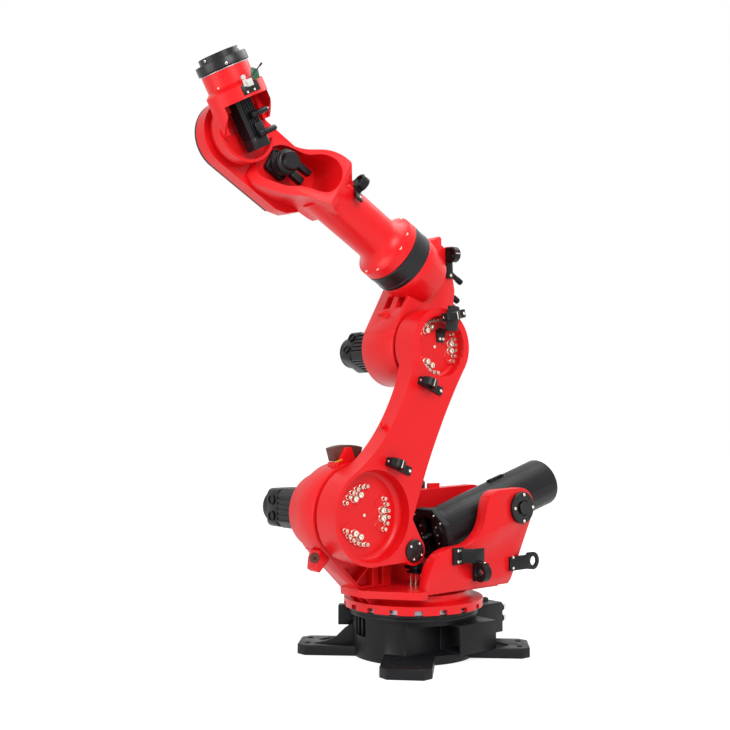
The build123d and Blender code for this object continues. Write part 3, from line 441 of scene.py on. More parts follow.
class Bench:
    """Modelling bench: pieces start from a primitive and are shaped in millimetres."""

    @staticmethod
    def clear() -> None:
        """Leave edit mode and deselect everything."""
        if bpy.context.mode != "OBJECT":
            bpy.ops.object.mode_set(mode="OBJECT")
        bpy.ops.object.select_all(action="DESELECT")

    @staticmethod
    def leave(name: str) -> Piece:
        """Clean the mesh being edited, turn its faces outward and leave edit mode.

        Args:
            name: Name of the piece.

        Returns:
            The piece.
        """
        bpy.ops.mesh.select_all(action="SELECT")
        bpy.ops.mesh.remove_doubles(threshold=WELD_MM)
        bpy.ops.mesh.normals_make_consistent(inside=False)
        bpy.ops.object.mode_set(mode="OBJECT")
        bpy.ops.object.transform_apply(location=True, rotation=True, scale=True)
        piece = bpy.context.object
        piece.name = name
        return piece

    @classmethod
    def turned(cls, name: str, rings: Outline, sides: int = 48) -> Piece:
        """Turn a round piece about Z from a disc, extruded ring by ring.

        Args:
            name: Name of the piece.
            rings: Radius and height of each step of the profile, from the bottom face up.
            sides: Number of sides of the round.

        Returns:
            The piece.
        """
        cls.clear()
        (radius, height), *steps = rings
        bpy.ops.mesh.primitive_circle_add(
            vertices=sides,
            radius=radius,
            fill_type="NGON",
            location=(0, 0, height),
            enter_editmode=True,
        )
        for new_radius, new_height in steps:
            bpy.ops.mesh.extrude_region_move(
                TRANSFORM_OT_translate={"value": (0, 0, new_height - height)}
            )
            grow = new_radius / radius
            bpy.ops.transform.resize(value=(grow, grow, 1), center_override=(0, 0, new_height))
            radius, height = new_radius, new_height
        return cls.leave(name)

    @staticmethod
    def draw(points: Sequence[tuple[float, float, float]]) -> None:
        """Draw a chain of edges in edit mode, extruded from point to point.

        Args:
            points: Points of the chain.
        """
        bpy.ops.mesh.primitive_plane_add(size=1, location=(0, 0, 0), enter_editmode=True)
        bpy.ops.mesh.merge(type="CENTER")
        bpy.ops.transform.translate(value=points[0])
        for here, there in zip(points, points[1:]):
            step = [b - a for a, b in zip(here, there)]
            bpy.ops.mesh.extrude_vertices_move(TRANSFORM_OT_translate={"value": step})
        bpy.ops.mesh.select_all(action="SELECT")

    @classmethod
    def outlined(
        cls, name: str, outline: Outline, low: float, high: float, draft: float = 1.0
    ) -> Piece:
        """Extrude a flat outline from one height to another.

        Args:
            name: Name of the piece.
            outline: Corners of the outline, in order.
            low: Height of its bottom.
            high: Height of its top.
            draft: Size of the top against the bottom.

        Returns:
            The piece.
        """
        cls.clear()
        cls.draw([(x, y, low) for x, y in outline])
        bpy.ops.mesh.edge_face_add()
        bpy.ops.mesh.extrude_region_move(TRANSFORM_OT_translate={"value": (0, 0, high - low)})
        if draft != 1.0:
            middle = [sum(p[i] for p in outline) / len(outline) for i in (0, 1)]
            bpy.ops.transform.resize(value=(draft, draft, 1), center_override=(*middle, high))
        return cls.leave(name)

    @classmethod
    def spun(
        cls, name: str, profile: Outline, start: float = 0.0, sweep: float = 360.0, steps: int = 48
    ) -> Piece:
        """Spin a closed profile about Z, a full turn or part of one.

        Args:
            name: Name of the piece.
            profile: Radius and height of each corner of the profile, in order.
            start: Angle at which the spin starts, in degrees.
            sweep: Angle of the spin, in degrees.
            steps: Number of steps.

        Returns:
            The piece.
        """
        cls.clear()
        begin = math.radians(start)
        cls.draw([(r * math.cos(begin), r * math.sin(begin), z) for r, z in profile])
        full = sweep >= 360
        bpy.ops.mesh.edge_face_add()
        if full:
            bpy.ops.mesh.delete(type="ONLY_FACE")
            bpy.ops.mesh.select_all(action="SELECT")
        bpy.ops.mesh.spin(steps=steps, angle=math.radians(sweep), center=(0, 0, 0), axis=(0, 0, -1))
        return cls.leave(name)

    @classmethod
    def rounded(cls, piece: Piece, width: float, segments: int = 2, angle: float = 35) -> Piece:
        """Round the sharp edges of a piece.

        Args:
            piece: Piece to round.
            width: Width of the rounding in the piece's own units.
            segments: Number of faces across the rounding.
            angle: Edges sharper than this many degrees are rounded.

        Returns:
            The same piece.
        """
        bevel = piece.modifiers.new("rounding", "BEVEL")
        bevel.width = width
        bevel.segments = segments
        bevel.limit_method = "ANGLE"
        bevel.angle_limit = math.radians(angle)
        bevel.use_clamp_overlap = False
        return cls.apply(piece, bevel)

    @classmethod
    def plate(
        cls, name: str, outline: Outline, low: float, high: float, edge: float
    ) -> Piece:
        """Extrude a flat outline from one height to another and round its edges by a width."""
        return cls.rounded(cls.outlined(name, outline, low, high), edge)

    @classmethod
    def cut(cls, piece: Piece, cutter: Piece) -> Piece:
        """Cut one piece out of another.

        Args:
            piece: Piece that is cut.
            cutter: Closed piece in the shape of the hole.

        Returns:
            The cut piece.
        """
        boolean = piece.modifiers.new("cut", "BOOLEAN")
        boolean.operation = "DIFFERENCE"
        boolean.object = cutter
        boolean.solver = "EXACT"
        cls.apply(piece, boolean)
        bpy.data.objects.remove(cutter)
        return piece

    @classmethod
    def apply(cls, piece: Piece, modifier: bpy.types.Modifier) -> Piece:
        """Apply a modifier to a piece and give the piece back.

        Args:
            piece: Piece that has the modifier.
            modifier: Modifier to apply.

        Returns:
            The same piece.
        """
        cls.clear()
        piece.select_set(True)
        bpy.context.view_layer.objects.active = piece
        bpy.ops.object.modifier_apply(modifier=modifier.name)
        return piece

    @classmethod
    def moved(
        cls,
        piece: Piece,
        shift: tuple[float, float, float] = (0, 0, 0),
        turn: float = 0.0,
        axis: str = "Z",
    ) -> Piece:
        """Move and turn a piece's mesh about its origin.

        Args:
            piece: Piece to move.
            shift: Distance along each axis, after the turn.
            turn: Angle in degrees.
            axis: Axis of the turn.

        Returns:
            The same piece.
        """
        piece.data.transform(Matrix.Translation(shift) @ turned_by(turn, axis))
        return piece

    @classmethod
    def repeat(cls, piece: Piece, places: Iterable[Matrix]) -> Piece:
        """Copy a piece to several places, each copy with its own mesh, and join the copies.

        Args:
            piece: Piece that is modelled once; it becomes the first copy.
            places: Place of each copy.

        Returns:
            The joined copies.
        """
        first, *others = list(places)
        copies = []
        for place in others:
            copy = bpy.data.objects.new(piece.name, piece.data.copy())
            bpy.context.scene.collection.objects.link(copy)
            copy.data.transform(place)
            copies.append(copy)
        piece.data.transform(first)
        return cls.joined([piece, *copies])

    @classmethod
    def joined(cls, pieces: Sequence[Piece], name: str = "") -> Piece:
        """Join several meshes into one piece.

        Args:
            pieces: Meshes to join; the first one keeps its name.
            name: New name of the joined piece, if it changes.

        Returns:
            The joined piece.
        """
        cls.clear()
        for piece in pieces:
            piece.select_set(True)
        bpy.context.view_layer.objects.active = pieces[0]
        if len(pieces) > 1:
            bpy.ops.object.join()
        pieces[0].name = name or pieces[0].name
        return pieces[0]


def seat(origin: Vector, facing: Vector, along: Vector) -> Matrix:
    """Give the place of a piece that is modelled upright on Z.

    Args:
        origin: Where the piece's origin goes, in millimetres.
        facing: Direction of the piece's Z axis.
        along: Direction near which the piece's X axis lies.

    Returns:
        The place as a matrix in millimetres.
    """
    up = facing.normalized()
    side = (along - up * along.dot(up)).normalized()
    return Matrix.Translation(origin) @ Matrix((side, up.cross(side), up)).transposed().to_4x4()


@dataclass(frozen=True)
class Link:
    """Side plane of one link, in millimetres, with the axes of its drawing.

    Attributes:
        body: Body of the frame that the link is.
        x: World X of the plane's origin.
        z: World Z of the plane's origin.
        rise: Angle of the first axis above +X, in degrees.
    """

    body: str
    x: float
    z: float
    rise: float

    def way(self, first: float, second: float, y: float = 0.0) -> Vector:
        """Give a direction from its parts along the first axis, the second axis and +Y.

        Args:
            first: Part along the first axis.
            second: Part along the second axis.
            y: Part along +Y.

        Returns:
            The direction in the world.
        """
        angle = math.radians(self.rise)
        return Vector(
            (
                first * math.cos(angle) - second * math.sin(angle),
                y,
                first * math.sin(angle) + second * math.cos(angle),
            )
        )

    def point(self, first: float, second: float, y: float) -> Vector:
        """Give a point from its distances along the first axis, the second axis and +Y."""
        return Vector((self.x, 0, self.z)) + self.way(first, second, y)

    def near(self, first: float, second: float, y: float) -> Matrix:
        """Give a place that faces the near side, +Y, its X along the first axis."""
        return seat(self.point(first, second, y), NEARWARD, self.way(1, 0))

    def far(self, first: float, second: float, y: float) -> Matrix:
        """Give a place that faces the far side, -Y, its X along the first axis."""
        return seat(self.point(first, second, y), FARWARD, self.way(1, 0))

    def ahead(self, first: float, second: float, y: float) -> Matrix:
        """Give a place that faces along the first axis, its X towards the near side."""
        return seat(self.point(first, second, y), self.way(1, 0), NEARWARD)

    def above(self, first: float, second: float, y: float) -> Matrix:
        """Give a place that faces along the second axis, its X along the first axis."""
        return seat(self.point(first, second, y), self.way(0, 1), self.way(1, 0))


def joint_place(name: str) -> tuple[float, float]:
    """Give world X and Z of a joint of the frame, in millimetres."""
    joint = next(j for j in frame["joints"] if j["name"] == name)
    return joint["pos_m"][0] / MM, joint["pos_m"][2] / MM


TABLE = Link("turntable", 0.0, 0.0, 0.0)
BASE = Link("base", 0.0, 0.0, 0.0)
SHOULDER = Link("turntable", *joint_place("j2_shoulder"), 0.0)
LOWER_ARM = Link("lower_arm", *joint_place("j2_shoulder"), 28.3)
ELBOW = Link("elbow", *joint_place("j3_elbow"), 29.3)
ELBOW_OFFSET = 370.0
FOREARM_START = ELBOW.point(0, ELBOW_OFFSET, 0)
FOREARM = Link("forearm", FOREARM_START.x, FOREARM_START.z, 29.3)
WRIST = Link("wrist", *joint_place("j5_wrist"), 60.0)
TOOL = Link("tool", *joint_place("j5_wrist"), 60.0)
TRUNNION = (-515.0, 776.0)
ROD_EYE = (190.0, 582.0)
ROD_FALL = math.degrees(math.atan2(ROD_EYE[1] - TRUNNION[1], ROD_EYE[0] - TRUNNION[0]))
CYLINDER = Link("counterbalance_cylinder", *TRUNNION, ROD_FALL)
CYLINDER_Y = 106.0
YOKE_FACE_Y = 329.0


def fit(
    piece: Piece,
    place: Matrix,
    finish: Finish,
    body: str,
    replaced: Sequence[str] = (),
    smooth: float = 35,
) -> Piece:
    """Put a finished piece in its place, dress it and let it ride on its body.

    Args:
        piece: Piece modelled in millimetres at the origin.
        place: Its place in millimetres.
        finish: Its finish.
        body: Body of the frame that it moves with.
        replaced: CAD nodes that it stands for.
        smooth: Edges up to this many degrees are shaded smooth.

    Returns:
        The fitted piece.
    """
    piece.data.transform(Matrix.Scale(MM, 4) @ place)
    Bench.clear()
    piece.select_set(True)
    bpy.context.view_layer.objects.active = piece
    bpy.ops.object.shade_smooth_by_angle(angle=math.radians(smooth))
    piece.data.materials.clear()
    piece.data.materials.append(Shelf.get(finish))
    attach(piece, body)
    if replaced:
        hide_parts(*replaced)
    LOG.info("%s on %s: %s, %d faces", piece.name, body, finish.name, len(piece.data.polygons))
    return piece


@dataclass(frozen=True)
class Screw:
    """Socket head cap screw, modelled once for each size.

    Attributes:
        head: Diameter of the head in millimetres.
        height: Height of the head in millimetres.
        washer: Diameter of the washer under it, or 0 for none.
    """

    head: float
    height: float
    washer: float = 0.0

    def model(self, name: str) -> Piece:
        """Model the screw's head standing on Z = 0.

        Args:
            name: Name of the piece.

        Returns:
            The piece.
        """
        r, h = self.head / 2, self.height
        rings = [
            (r * 0.96, -1.0), (r, 0.6), (r, h * 0.86), (r * 0.88, h), (r * 0.54, h),
            (r * 0.5, h * 0.45),
        ]
        if self.washer:
            rings = [
                (self.washer / 2, -1.0), (self.washer / 2, h * 0.14), (r, h * 0.14), *rings[2:]
            ]
        return Bench.turned(name, rings, 12)

    def fit(self, name: str, places: Iterable[Matrix], body: str, finish: Finish = ZINC) -> Piece:
        """Fit one screw at each place, as one piece.

        Args:
            name: Name of the piece.
            places: Place of each screw.
            body: Body that the screws ride on.
            finish: Their finish.

        Returns:
            The piece.
        """
        return fit(Bench.repeat(self.model(name), places), HERE, finish, body)


def around(centre: Matrix, radius: float, angles: Iterable[float]) -> list[Matrix]:
    """Give places on a circle about a place's own Z axis.

    Args:
        centre: Place of the circle's centre.
        radius: Radius in millimetres.
        angles: Angle of each place, in degrees.

    Returns:
        The places.
    """
    return [centre @ turned_by(a, "Z") @ moved_by(radius, 0, 0) for a in angles]


# How a casting's mesh is welded and rounded: the shares of the wanted rounding that are tried, the
# angle under which faces are one, and what counts as a face that folds over.
ROUNDING_SHARES = (1.0, 0.7, 0.45, 0.25, 0.0)
CASTING_WELD_MM = 0.02
FLAT_DEGREES = 1.0
FOLD_LIMIT = 60.0
SLIVER_AREA = 0.1
FOLDED_COSINE = 0.3
BODY_OF = {
    node: body for body, nodes in frame["record"]["behaviour"]["bodies"].items() for node in nodes
}


@dataclass(frozen=True)
class Casting:
    """A casting of the frame whose sharp edges are rounded as a foundry's are.

    Attributes:
        node: CAD node that it stands for.
        edge: Width of the rounding in millimetres.
        finish: Its finish.
    """

    node: str
    edge: float
    finish: Finish = RED_ENAMEL

    def copy(self, width: float) -> Piece:
        """Copy the node's mesh in millimetres, merge its triangles to faces and round its edges.

        Args:
            width: Width of the rounding, or 0 for sharp edges.

        Returns:
            The rounded copy.
        """
        piece = bpy.data.objects.new(f"{self.node}_rounded", frame["nodes"][self.node].data.copy())
        bpy.context.scene.collection.objects.link(piece)
        piece.data.transform(Matrix.Scale(1 / MM, 4))
        Bench.clear()
        piece.select_set(True)
        bpy.context.view_layer.objects.active = piece
        if piece.data.has_custom_normals:
            bpy.ops.mesh.customdata_custom_splitnormals_clear()
        bpy.ops.object.mode_set(mode="EDIT")
        bpy.ops.mesh.select_all(action="SELECT")
        bpy.ops.mesh.remove_doubles(threshold=CASTING_WELD_MM)
        bpy.ops.mesh.dissolve_limited(angle_limit=math.radians(FLAT_DEGREES))
        bpy.ops.object.mode_set(mode="OBJECT")
        return Bench.rounded(piece, width, angle=32) if width else piece

    @staticmethod
    def folded(piece: Piece) -> float:
        """Give the area in square millimetres of the triangles that face against their face.

        Args:
            piece: Rounded copy of a casting.

        Returns:
            The area of its folded triangles.
        """
        mesh = piece.data
        mesh.calc_loop_triangles()
        faces = mesh.polygons
        return sum(
            triangle.area
            for triangle in mesh.loop_triangles
            if triangle.area > SLIVER_AREA
            and triangle.normal.dot(faces[triangle.polygon_index].normal) < FOLDED_COSINE
        )

    def build(self) -> Piece:
        """Fit the rounded casting in place of its node, its rounding no wider than its faces allow.

        Returns:
            The piece.
        """
        for share in ROUNDING_SHARES:
            piece = self.copy(self.edge * share)
            if self.folded(piece) < FOLD_LIMIT or not share:
                break
            bpy.data.objects.remove(piece)
        return fit(piece, HERE, self.finish, BODY_OF[self.node], [self.node], smooth=40)


def rounded_square(half: float, corner: float, steps: int = 4) -> list[tuple[float, float]]:
    """Give the outline of a square with round corners.

    Args:
        half: Half its width.
        corner: Radius of the corners.
        steps: Number of edges in each corner.

    Returns:
        Corners of the outline.
    """
    outline = []
    for quarter, (sx, sy) in enumerate(((1, 1), (-1, 1), (-1, -1), (1, -1))):
        for i in range(steps + 1):
            angle = math.radians(90 * quarter + 90 * i / steps)
            reach = half - corner
            outline.append(
                (sx * reach + corner * math.cos(angle), sy * reach + corner * math.sin(angle))
            )
    return outline


def finned_square(half: float, fins: int, depth: float, corner: float) -> list[tuple[float, float]]:
    """Give the outline of a square extrusion with cooling fins on all four sides.

    Args:
        half: Half its width over the fins.
        fins: Number of grooves on each side.
        depth: Depth of the grooves.
        corner: Size of the plain corners.

    Returns:
        Corners of the outline.
    """
    span = 2 * (half - corner)
    pitch = span / fins
    side = [(half - corner * 0.45, -half + corner * 0.45), (half, -half + corner)]
    for i in range(fins):
        low = -half + corner + pitch * (i + 0.25)
        high = low + pitch * 0.5
        side += oblong(half, half - depth, low, high)
    side.append((half, half - corner))
    outline = []
    for quarter in range(4):
        turn = math.radians(90 * quarter)
        outline += [
            (
                x * math.cos(turn) - y * math.sin(turn), x * math.sin(turn) + y * math.cos(turn)
            ) for x, y in side
        ]
    return outline


def fillet_ring(wall: float, size: float, steps: int = 5) -> list[tuple[float, float]]:
    """Give the profile of a hollow fillet between a floor and a round wall.

    Args:
        wall: Radius of the wall.
        size: Radius of the fillet.
        steps: Number of edges in the hollow.

    Returns:
        Radius and height of each corner of the profile.
    """
    hollow = []
    for i in range(steps + 1):
        angle = math.radians(-90 * i / steps)
        hollow.append((wall - size + size * math.cos(angle), size + size * math.sin(angle)))
    return [(wall - size, -1.5), (wall + 1, -1.5), (wall + 1, size), *hollow[:-1]]


@dataclass(frozen=True)
class HoseClamp:
    """Two-part nylon hose clamp on a foot plate, its X axis across the hose and Z off the surface.

    Attributes:
        outer: Radius of the clamp's ring.
        inner: Radius of its hole.
        width: Width along the hose.
        foot: Ends of the foot plate on X.
    """

    outer: float = 44.0
    inner: float = 26.0
    width: float = 46.0
    foot: tuple[float, float] = (-67.0, 111.0)

    def ring(self, name: str) -> Piece:
        """Model the ring about Z with chamfered rims and a stepped hole.

        Args:
            name: Name of the piece.

        Returns:
            The ring.
        """
        half, r, hole = self.width / 2, self.outer, self.inner
        profile = [(hole, -half + 6), (hole + 5, -half), (r - 5, -half), (r, -half + 5)]
        profile += [(r, half - 5), (r - 5, half), (hole + 5, half), (hole, half - 6)]
        return Bench.spun(name, profile, steps=36)

    def build(self, name: str, place: Matrix, body: str, replaced: Sequence[str] = ()) -> None:
        """Fit the clamp with its screws.

        Args:
            name: Name of the piece.
            place: Place of the foot's near edge, as the drawing gives it.
            body: Body that it rides on.
            replaced: CAD nodes that it stands for.
        """
        middle = -self.width / 2
        ring = Bench.moved(Bench.moved(self.ring(name), turn=90, axis="X"), (-22, middle, 40))
        low, high = self.foot
        outline = [
            (low, -42), (low + 5, -46), (high - 5, -46), (high, -42), (high, -4), (high - 5, 0)
        ]
        foot = Bench.outlined("foot", [*outline, (low + 5, 0), (low, -4)], 0, 13)
        block = Bench.outlined("block", oblong(-64, 20, -45, -1), 12, 36, 0.9)
        hood = Bench.outlined("hood", oblong(-58, -22, -38, -8), 30, 74, 0.6)
        solid = [Bench.rounded(part, 2.5) for part in (foot, block, hood)]
        fit(Bench.joined([ring, *solid], name), place, NYLON, body, replaced)
        # A thin bright zinc strip along the top of the hood is a painted highlight: it stands for the bright line
        # of light along the clamp's top, not a real latch or slit.
        painted_highlight_strip = Bench.outlined(f"{name}_painted_highlight", oblong(-26, -20, -43, -3), 82, 85.5)
        fit(Bench.rounded(painted_highlight_strip, 1.0), place, ZINC, body)
        spots = [place @ moved_by(x, middle, 13) for x in (high - 17, low + 9)]
        Screw(17, 7).fit(f"{name}_screws", spots, body)


@dataclass(frozen=True)
class ServoMotor:
    """Square finned servo motor, standing on Z with its mounting flange down.

    Attributes:
        half: Half the width of the body.
        length: Length without the round end cap.
        cap: Length of the end cap.
        fins: Number of grooves on each side.
        flange: Height of the mounting flange.
        rim: Width of the flange's rim round the body.
        rear_share: Share of the length that the plain rear part takes.
    """

    half: float
    length: float
    cap: float
    fins: int = 5
    flange: float = 24.0
    rim: float = 9.0
    rear_share: float = 0.3

    def build(self, name: str, place: Matrix, body: str, replaced: Sequence[str] = ()) -> None:
        """Fit the motor with its flange screws, plugs and end cap.

        Args:
            name: Name of the piece.
            place: Place of the mounting face.
            body: Body that it rides on.
            replaced: CAD nodes that it stands for.
        """
        half, top, end = self.half, self.length, self.length + self.cap
        low = top - top * self.rear_share
        fins = finned_square(half, self.fins, half * 0.07, half * 0.34)
        r = half * 0.92
        rings = [
            (r * 0.9, top - 2), (r, top + 3), (r, end - 9), (r * 0.9, end), (r * 0.5, end),
            (r * 0.46, end - 5),
        ]
        parts = [
            Bench.plate("plate", rounded_square(half + self.rim, 22), 0, self.flange, 3),
            Bench.outlined("core", fins, self.flange - 1, low),
            Bench.outlined("joint", rounded_square(half * 0.93, half * 0.3), low - 1, low + 8),
            Bench.rounded(
                Bench.outlined("rear", rounded_square(half * 0.985, half * 0.34), low + 7, top), 5, 3
            ),
            Bench.turned("end", rings, 40),
        ]
        fit(Bench.joined(parts, name), place, MOTOR_BLACK, body, replaced)
        self.add_plugs(name, place, body)

    def add_plugs(self, name: str, place: Matrix, body: str) -> None:
        """Fit the two plug sockets, the flange screws and the end cap's screws.

        Args:
            name: Name of the motor.
            place: Place of the mounting face.
            body: Body that they ride on.
        """
        size = self.half * 0.26
        rings = [
            (size * 1.15, -3), (size * 1.15, 4), (size, 5), (size, 16), (size * 0.8, 16),
            (size * 0.75, 10),
        ]
        plug = Bench.turned(f"{name}_plugs", rings, 24)
        spots = [
            moved_by(self.half * 0.93, side * self.half * 0.42, self.length - self.length * 0.15)
            @ turned_by(90, "Y")
            for side in (-1, 1)
        ]
        fit(Bench.repeat(plug, spots), place, NYLON, body)
        reach = (self.half + self.rim) * 0.84
        corners = [moved_by(x, y, self.flange) for x in (-reach, reach) for y in (-reach, reach)]
        Screw(18, 12).fit(f"{name}_screws", [place @ spot for spot in corners], body)
        rim = around(
            moved_by(0, 0, self.length + self.cap - 1), self.half * 0.66, range(45, 360, 90)
        )
        sunk = moved_by(0, 0, -3.5)
        Screw(10, 4).fit(
            f"{name}_cap_screws", [place @ spot @ sunk for spot in rim], body, OXIDE_BLACK
        )


@dataclass(frozen=True)
class ReducerFace:
    """Recessed face of a joint, bolted to the reducer in three clusters.

    Attributes:
        name: Name of the joint.
        x: World X of the joint in millimetres.
        z: World Z of the joint in millimetres.
        floor_y: Y of the recess's floor.
        wall: Radius of the recess.
        outer_pitch: Radius on which the small screws stand.
        inner_pitch: Radius on which the large screws stand.
        step: Angle between small screws in degrees.
    """

    name: str
    x: float
    z: float
    floor_y: float
    wall: float
    outer_pitch: float
    inner_pitch: float
    step: float = 12.8

    def build(self) -> None:
        """Fit the fillet, pads and screws of the recess."""
        middle = seat(Vector((self.x, self.floor_y, self.z)), NEARWARD, FORWARD)
        ring = Bench.spun(
            f"{self.name}_recess_fillet", fillet_ring(self.wall, self.wall * 0.13), steps=72
        )
        fit(ring, middle, RED_ENAMEL, LOWER_ARM.body)
        low, high = self.inner_pitch - 24, min(self.outer_pitch + 17, self.wall - 6)
        profile = [(low, -1), (high, -1), (high, 1.5), (high - 2, 3), (low + 2, 3), (low, 1.5)]
        pad = Bench.spun(f"{self.name}_screw_pads", profile, -42, 84, 18)
        clusters = [middle @ turned_by(a, "Z") for a in (180, 60, -60)]
        fit(Bench.repeat(pad, clusters), HERE, RED_ENAMEL, LOWER_ARM.body)
        steps = [self.step * (i - 2.5) for i in range(6)]
        lift = moved_by(0, 0, 3)
        small = [spot for c in clusters for spot in around(c @ lift, self.outer_pitch, steps)]
        large = [
            spot for c in clusters for spot in around(c @ lift, self.inner_pitch, (-10.2, 10.2))
        ]
        Screw(21, 23, 25).fit(f"{self.name}_small_screws", small, LOWER_ARM.body)
        Screw(34, 24, 38).fit(f"{self.name}_large_screws", large, LOWER_ARM.body)
        Screw(17, 4).fit(f"{self.name}_centre_screw", [middle], LOWER_ARM.body)


@dataclass
class LowerArm:
    """Lower arm with its bolted joint faces, hose clamps and rod pin.

    Attributes:
        near_y: Y of the arm's near face, in millimetres.
        clamp_spots: Distance of each hose clamp along the link's second axis.
        clamp_turn: Angle of their hoses from that axis, in degrees.
    """

    near_y: float = 217.0
    clamp_spots: tuple[float, ...] = (312.0, 790.0)
    clamp_turn: float = -8.0

    def build(self) -> None:
        """Build the whole lower arm."""
        Casting("lower_arm_casting", 7).build()
        ReducerFace("shoulder", SHOULDER.x, SHOULDER.z, 131, 235, 148, 113).build()
        ReducerFace("elbow", ELBOW.x, ELBOW.z, 156, 166, 143, 110).build()
        for node in ("shoulder_reducer", "elbow_reducer"):
            Casting(node, 3, OXIDE_BLACK).build()
        for i, along in enumerate(self.clamp_spots):
            place = self.clamp_place(LOWER_ARM, 4, along, self.near_y, self.clamp_turn)
            HoseClamp().build(
                f"arm_clamp_{i + 1}", place, LOWER_ARM.body, ["arm_hose_clamps"] if i == 0 else []
            )
        self.add_rod_pin()
        self.add_elbow_bracket()
        self.add_front_boss()

    @staticmethod
    def clamp_place(link: Link, first: float, second: float, y: float, turn: float) -> Matrix:
        """Give the place of a hose clamp on a side face, its hose turned from the second axis.

        Args:
            link: Link that the clamp stands on.
            first: Distance along the link's first axis.
            second: Distance along its second axis.
            y: Y of the side face.
            turn: Angle of the hose from the second axis, in degrees.

        Returns:
            The place.
        """
        angle = math.radians(turn)
        return seat(
            link.point(first, second, y), NEARWARD, -link.way(math.cos(angle), math.sin(angle))
        )

    def add_rod_pin(self) -> None:
        """Fit the stepped cap of the rod pin with its screws."""
        middle = seat(Vector((ROD_EYE[0], self.near_y, ROD_EYE[1])), NEARWARD, FORWARD)
        rings = [(60, -0.5), (60, 9), (57, 13), (30, 13), (28, 10), (12, 10), (11, 13), (4, 13)]
        cap = Bench.turned("rod_pin_cap", rings)
        pin = Bench.turned("pin", [(29.5, -143), (30, -139), (30, 0)], 40)
        fit(Bench.joined([cap, pin]), middle, OXIDE_BLACK, LOWER_ARM.body, ["rod_pin"])
        spots = around(middle @ moved_by(0, 0, 13), 44, (-122, -37, 70, 150))
        Screw(13, 6).fit("rod_pin_cap_screws", spots, LOWER_ARM.body)

    def add_elbow_bracket(self) -> None:
        """Fit the cranked hose bracket that stands in the elbow's recess, and its clamp."""
        foot = Vector((ELBOW.x - 42, 156, ELBOW.z + 62))
        place = seat(foot, NEARWARD, UPWARD)
        sole = Bench.outlined(
            "elbow_bracket", [(-38, -26), (30, -34), (44, 0), (30, 34), (-38, 26)], 0, 8
        )
        riser = Bench.outlined("riser", oblong(22, 32, -34, 34), 4, 92)
        shelf = Bench.outlined(
            "shelf", [(22, -44), (150, -62), (158, -50), (158, 20), (30, 44)], 84, 93
        )
        parts = [Bench.rounded(part, 2) for part in (sole, riser, shelf)]
        fit(Bench.joined(parts, "elbow_bracket"), place, OXIDE_BLACK, LOWER_ARM.body)
        spots = [place @ moved_by(-18, y, 8) for y in (-12, 12)]
        Screw(17, 8).fit("elbow_bracket_screws", spots, LOWER_ARM.body)
        top = place @ moved_by(122, 20, 93) @ turned_by(-78, "Z")
        HoseClamp().build("elbow_bracket_clamp", top, LOWER_ARM.body)

    def add_front_boss(self) -> None:
        """Fit the small round boss with its hole on the front strip of the arm."""
        middle = LOWER_ARM.ahead(150, 449, 168)
        boss = Bench.turned(
            "arm_front_boss", [(15, -32), (15, -8), (12, -5), (6, -5), (5.5, -14)], 28
        )
        fit(boss, middle, RED_ENAMEL, LOWER_ARM.body)


@dataclass
class Elbow:
    """Elbow casting with its motor, hose clamp and cable connectors.

    Attributes:
        near_y: Y of the casting's near face, in millimetres.
    """

    near_y: float = 48.0

    def build(self) -> None:
        """Build the whole elbow."""
        Casting("elbow_casting", 6).build()
        ServoMotor(98, 310, 50).build(
            "elbow_servo", ELBOW.far(0, 0, -212), ELBOW.body, ["elbow_motor"]
        )
        clamp = LowerArm.clamp_place(ELBOW, 46, 566, self.near_y, 58)
        HoseClamp().build("elbow_clamp", clamp, ELBOW.body, ["elbow_hose_clamp"])
        Casting("elbow_connectors", 2, NYLON).build()
        self.add_glands()
        self.add_seat_screws()

    def add_glands(self) -> None:
        """Fit the three ribbed cable glands on the rear of the elbow."""
        for i, (second, y, size, tail) in enumerate(
            ((515, 14, 15, 104), (402, 20, 16, 128), (350, 20, 16, 128))
        ):
            rings = [(size - 4, 0)]
            for step in range(4):
                rings += [
                    (size - 4, 4 + 9 * step), (size + 2, 5 + 9 * step), (size + 2, 10 + 9 * step)
                ]
            nut = Bench.turned(f"elbow_gland_{i + 1}", [*rings, (size - 5, 42), (size - 6, 36)], 24)
            place = seat(ELBOW.point(-tail + 34, second, y), -ELBOW.way(1, 0), NEARWARD)
            fit(nut, place, NYLON, ELBOW.body)

    def add_seat_screws(self) -> None:
        """Fit the screws round the motor's seat on the far side."""
        ring = around(ELBOW.far(0, 0, -212), 178, range(0, 360, 30))
        Screw(16, 10).fit("elbow_seat_screws", ring, ELBOW.body)


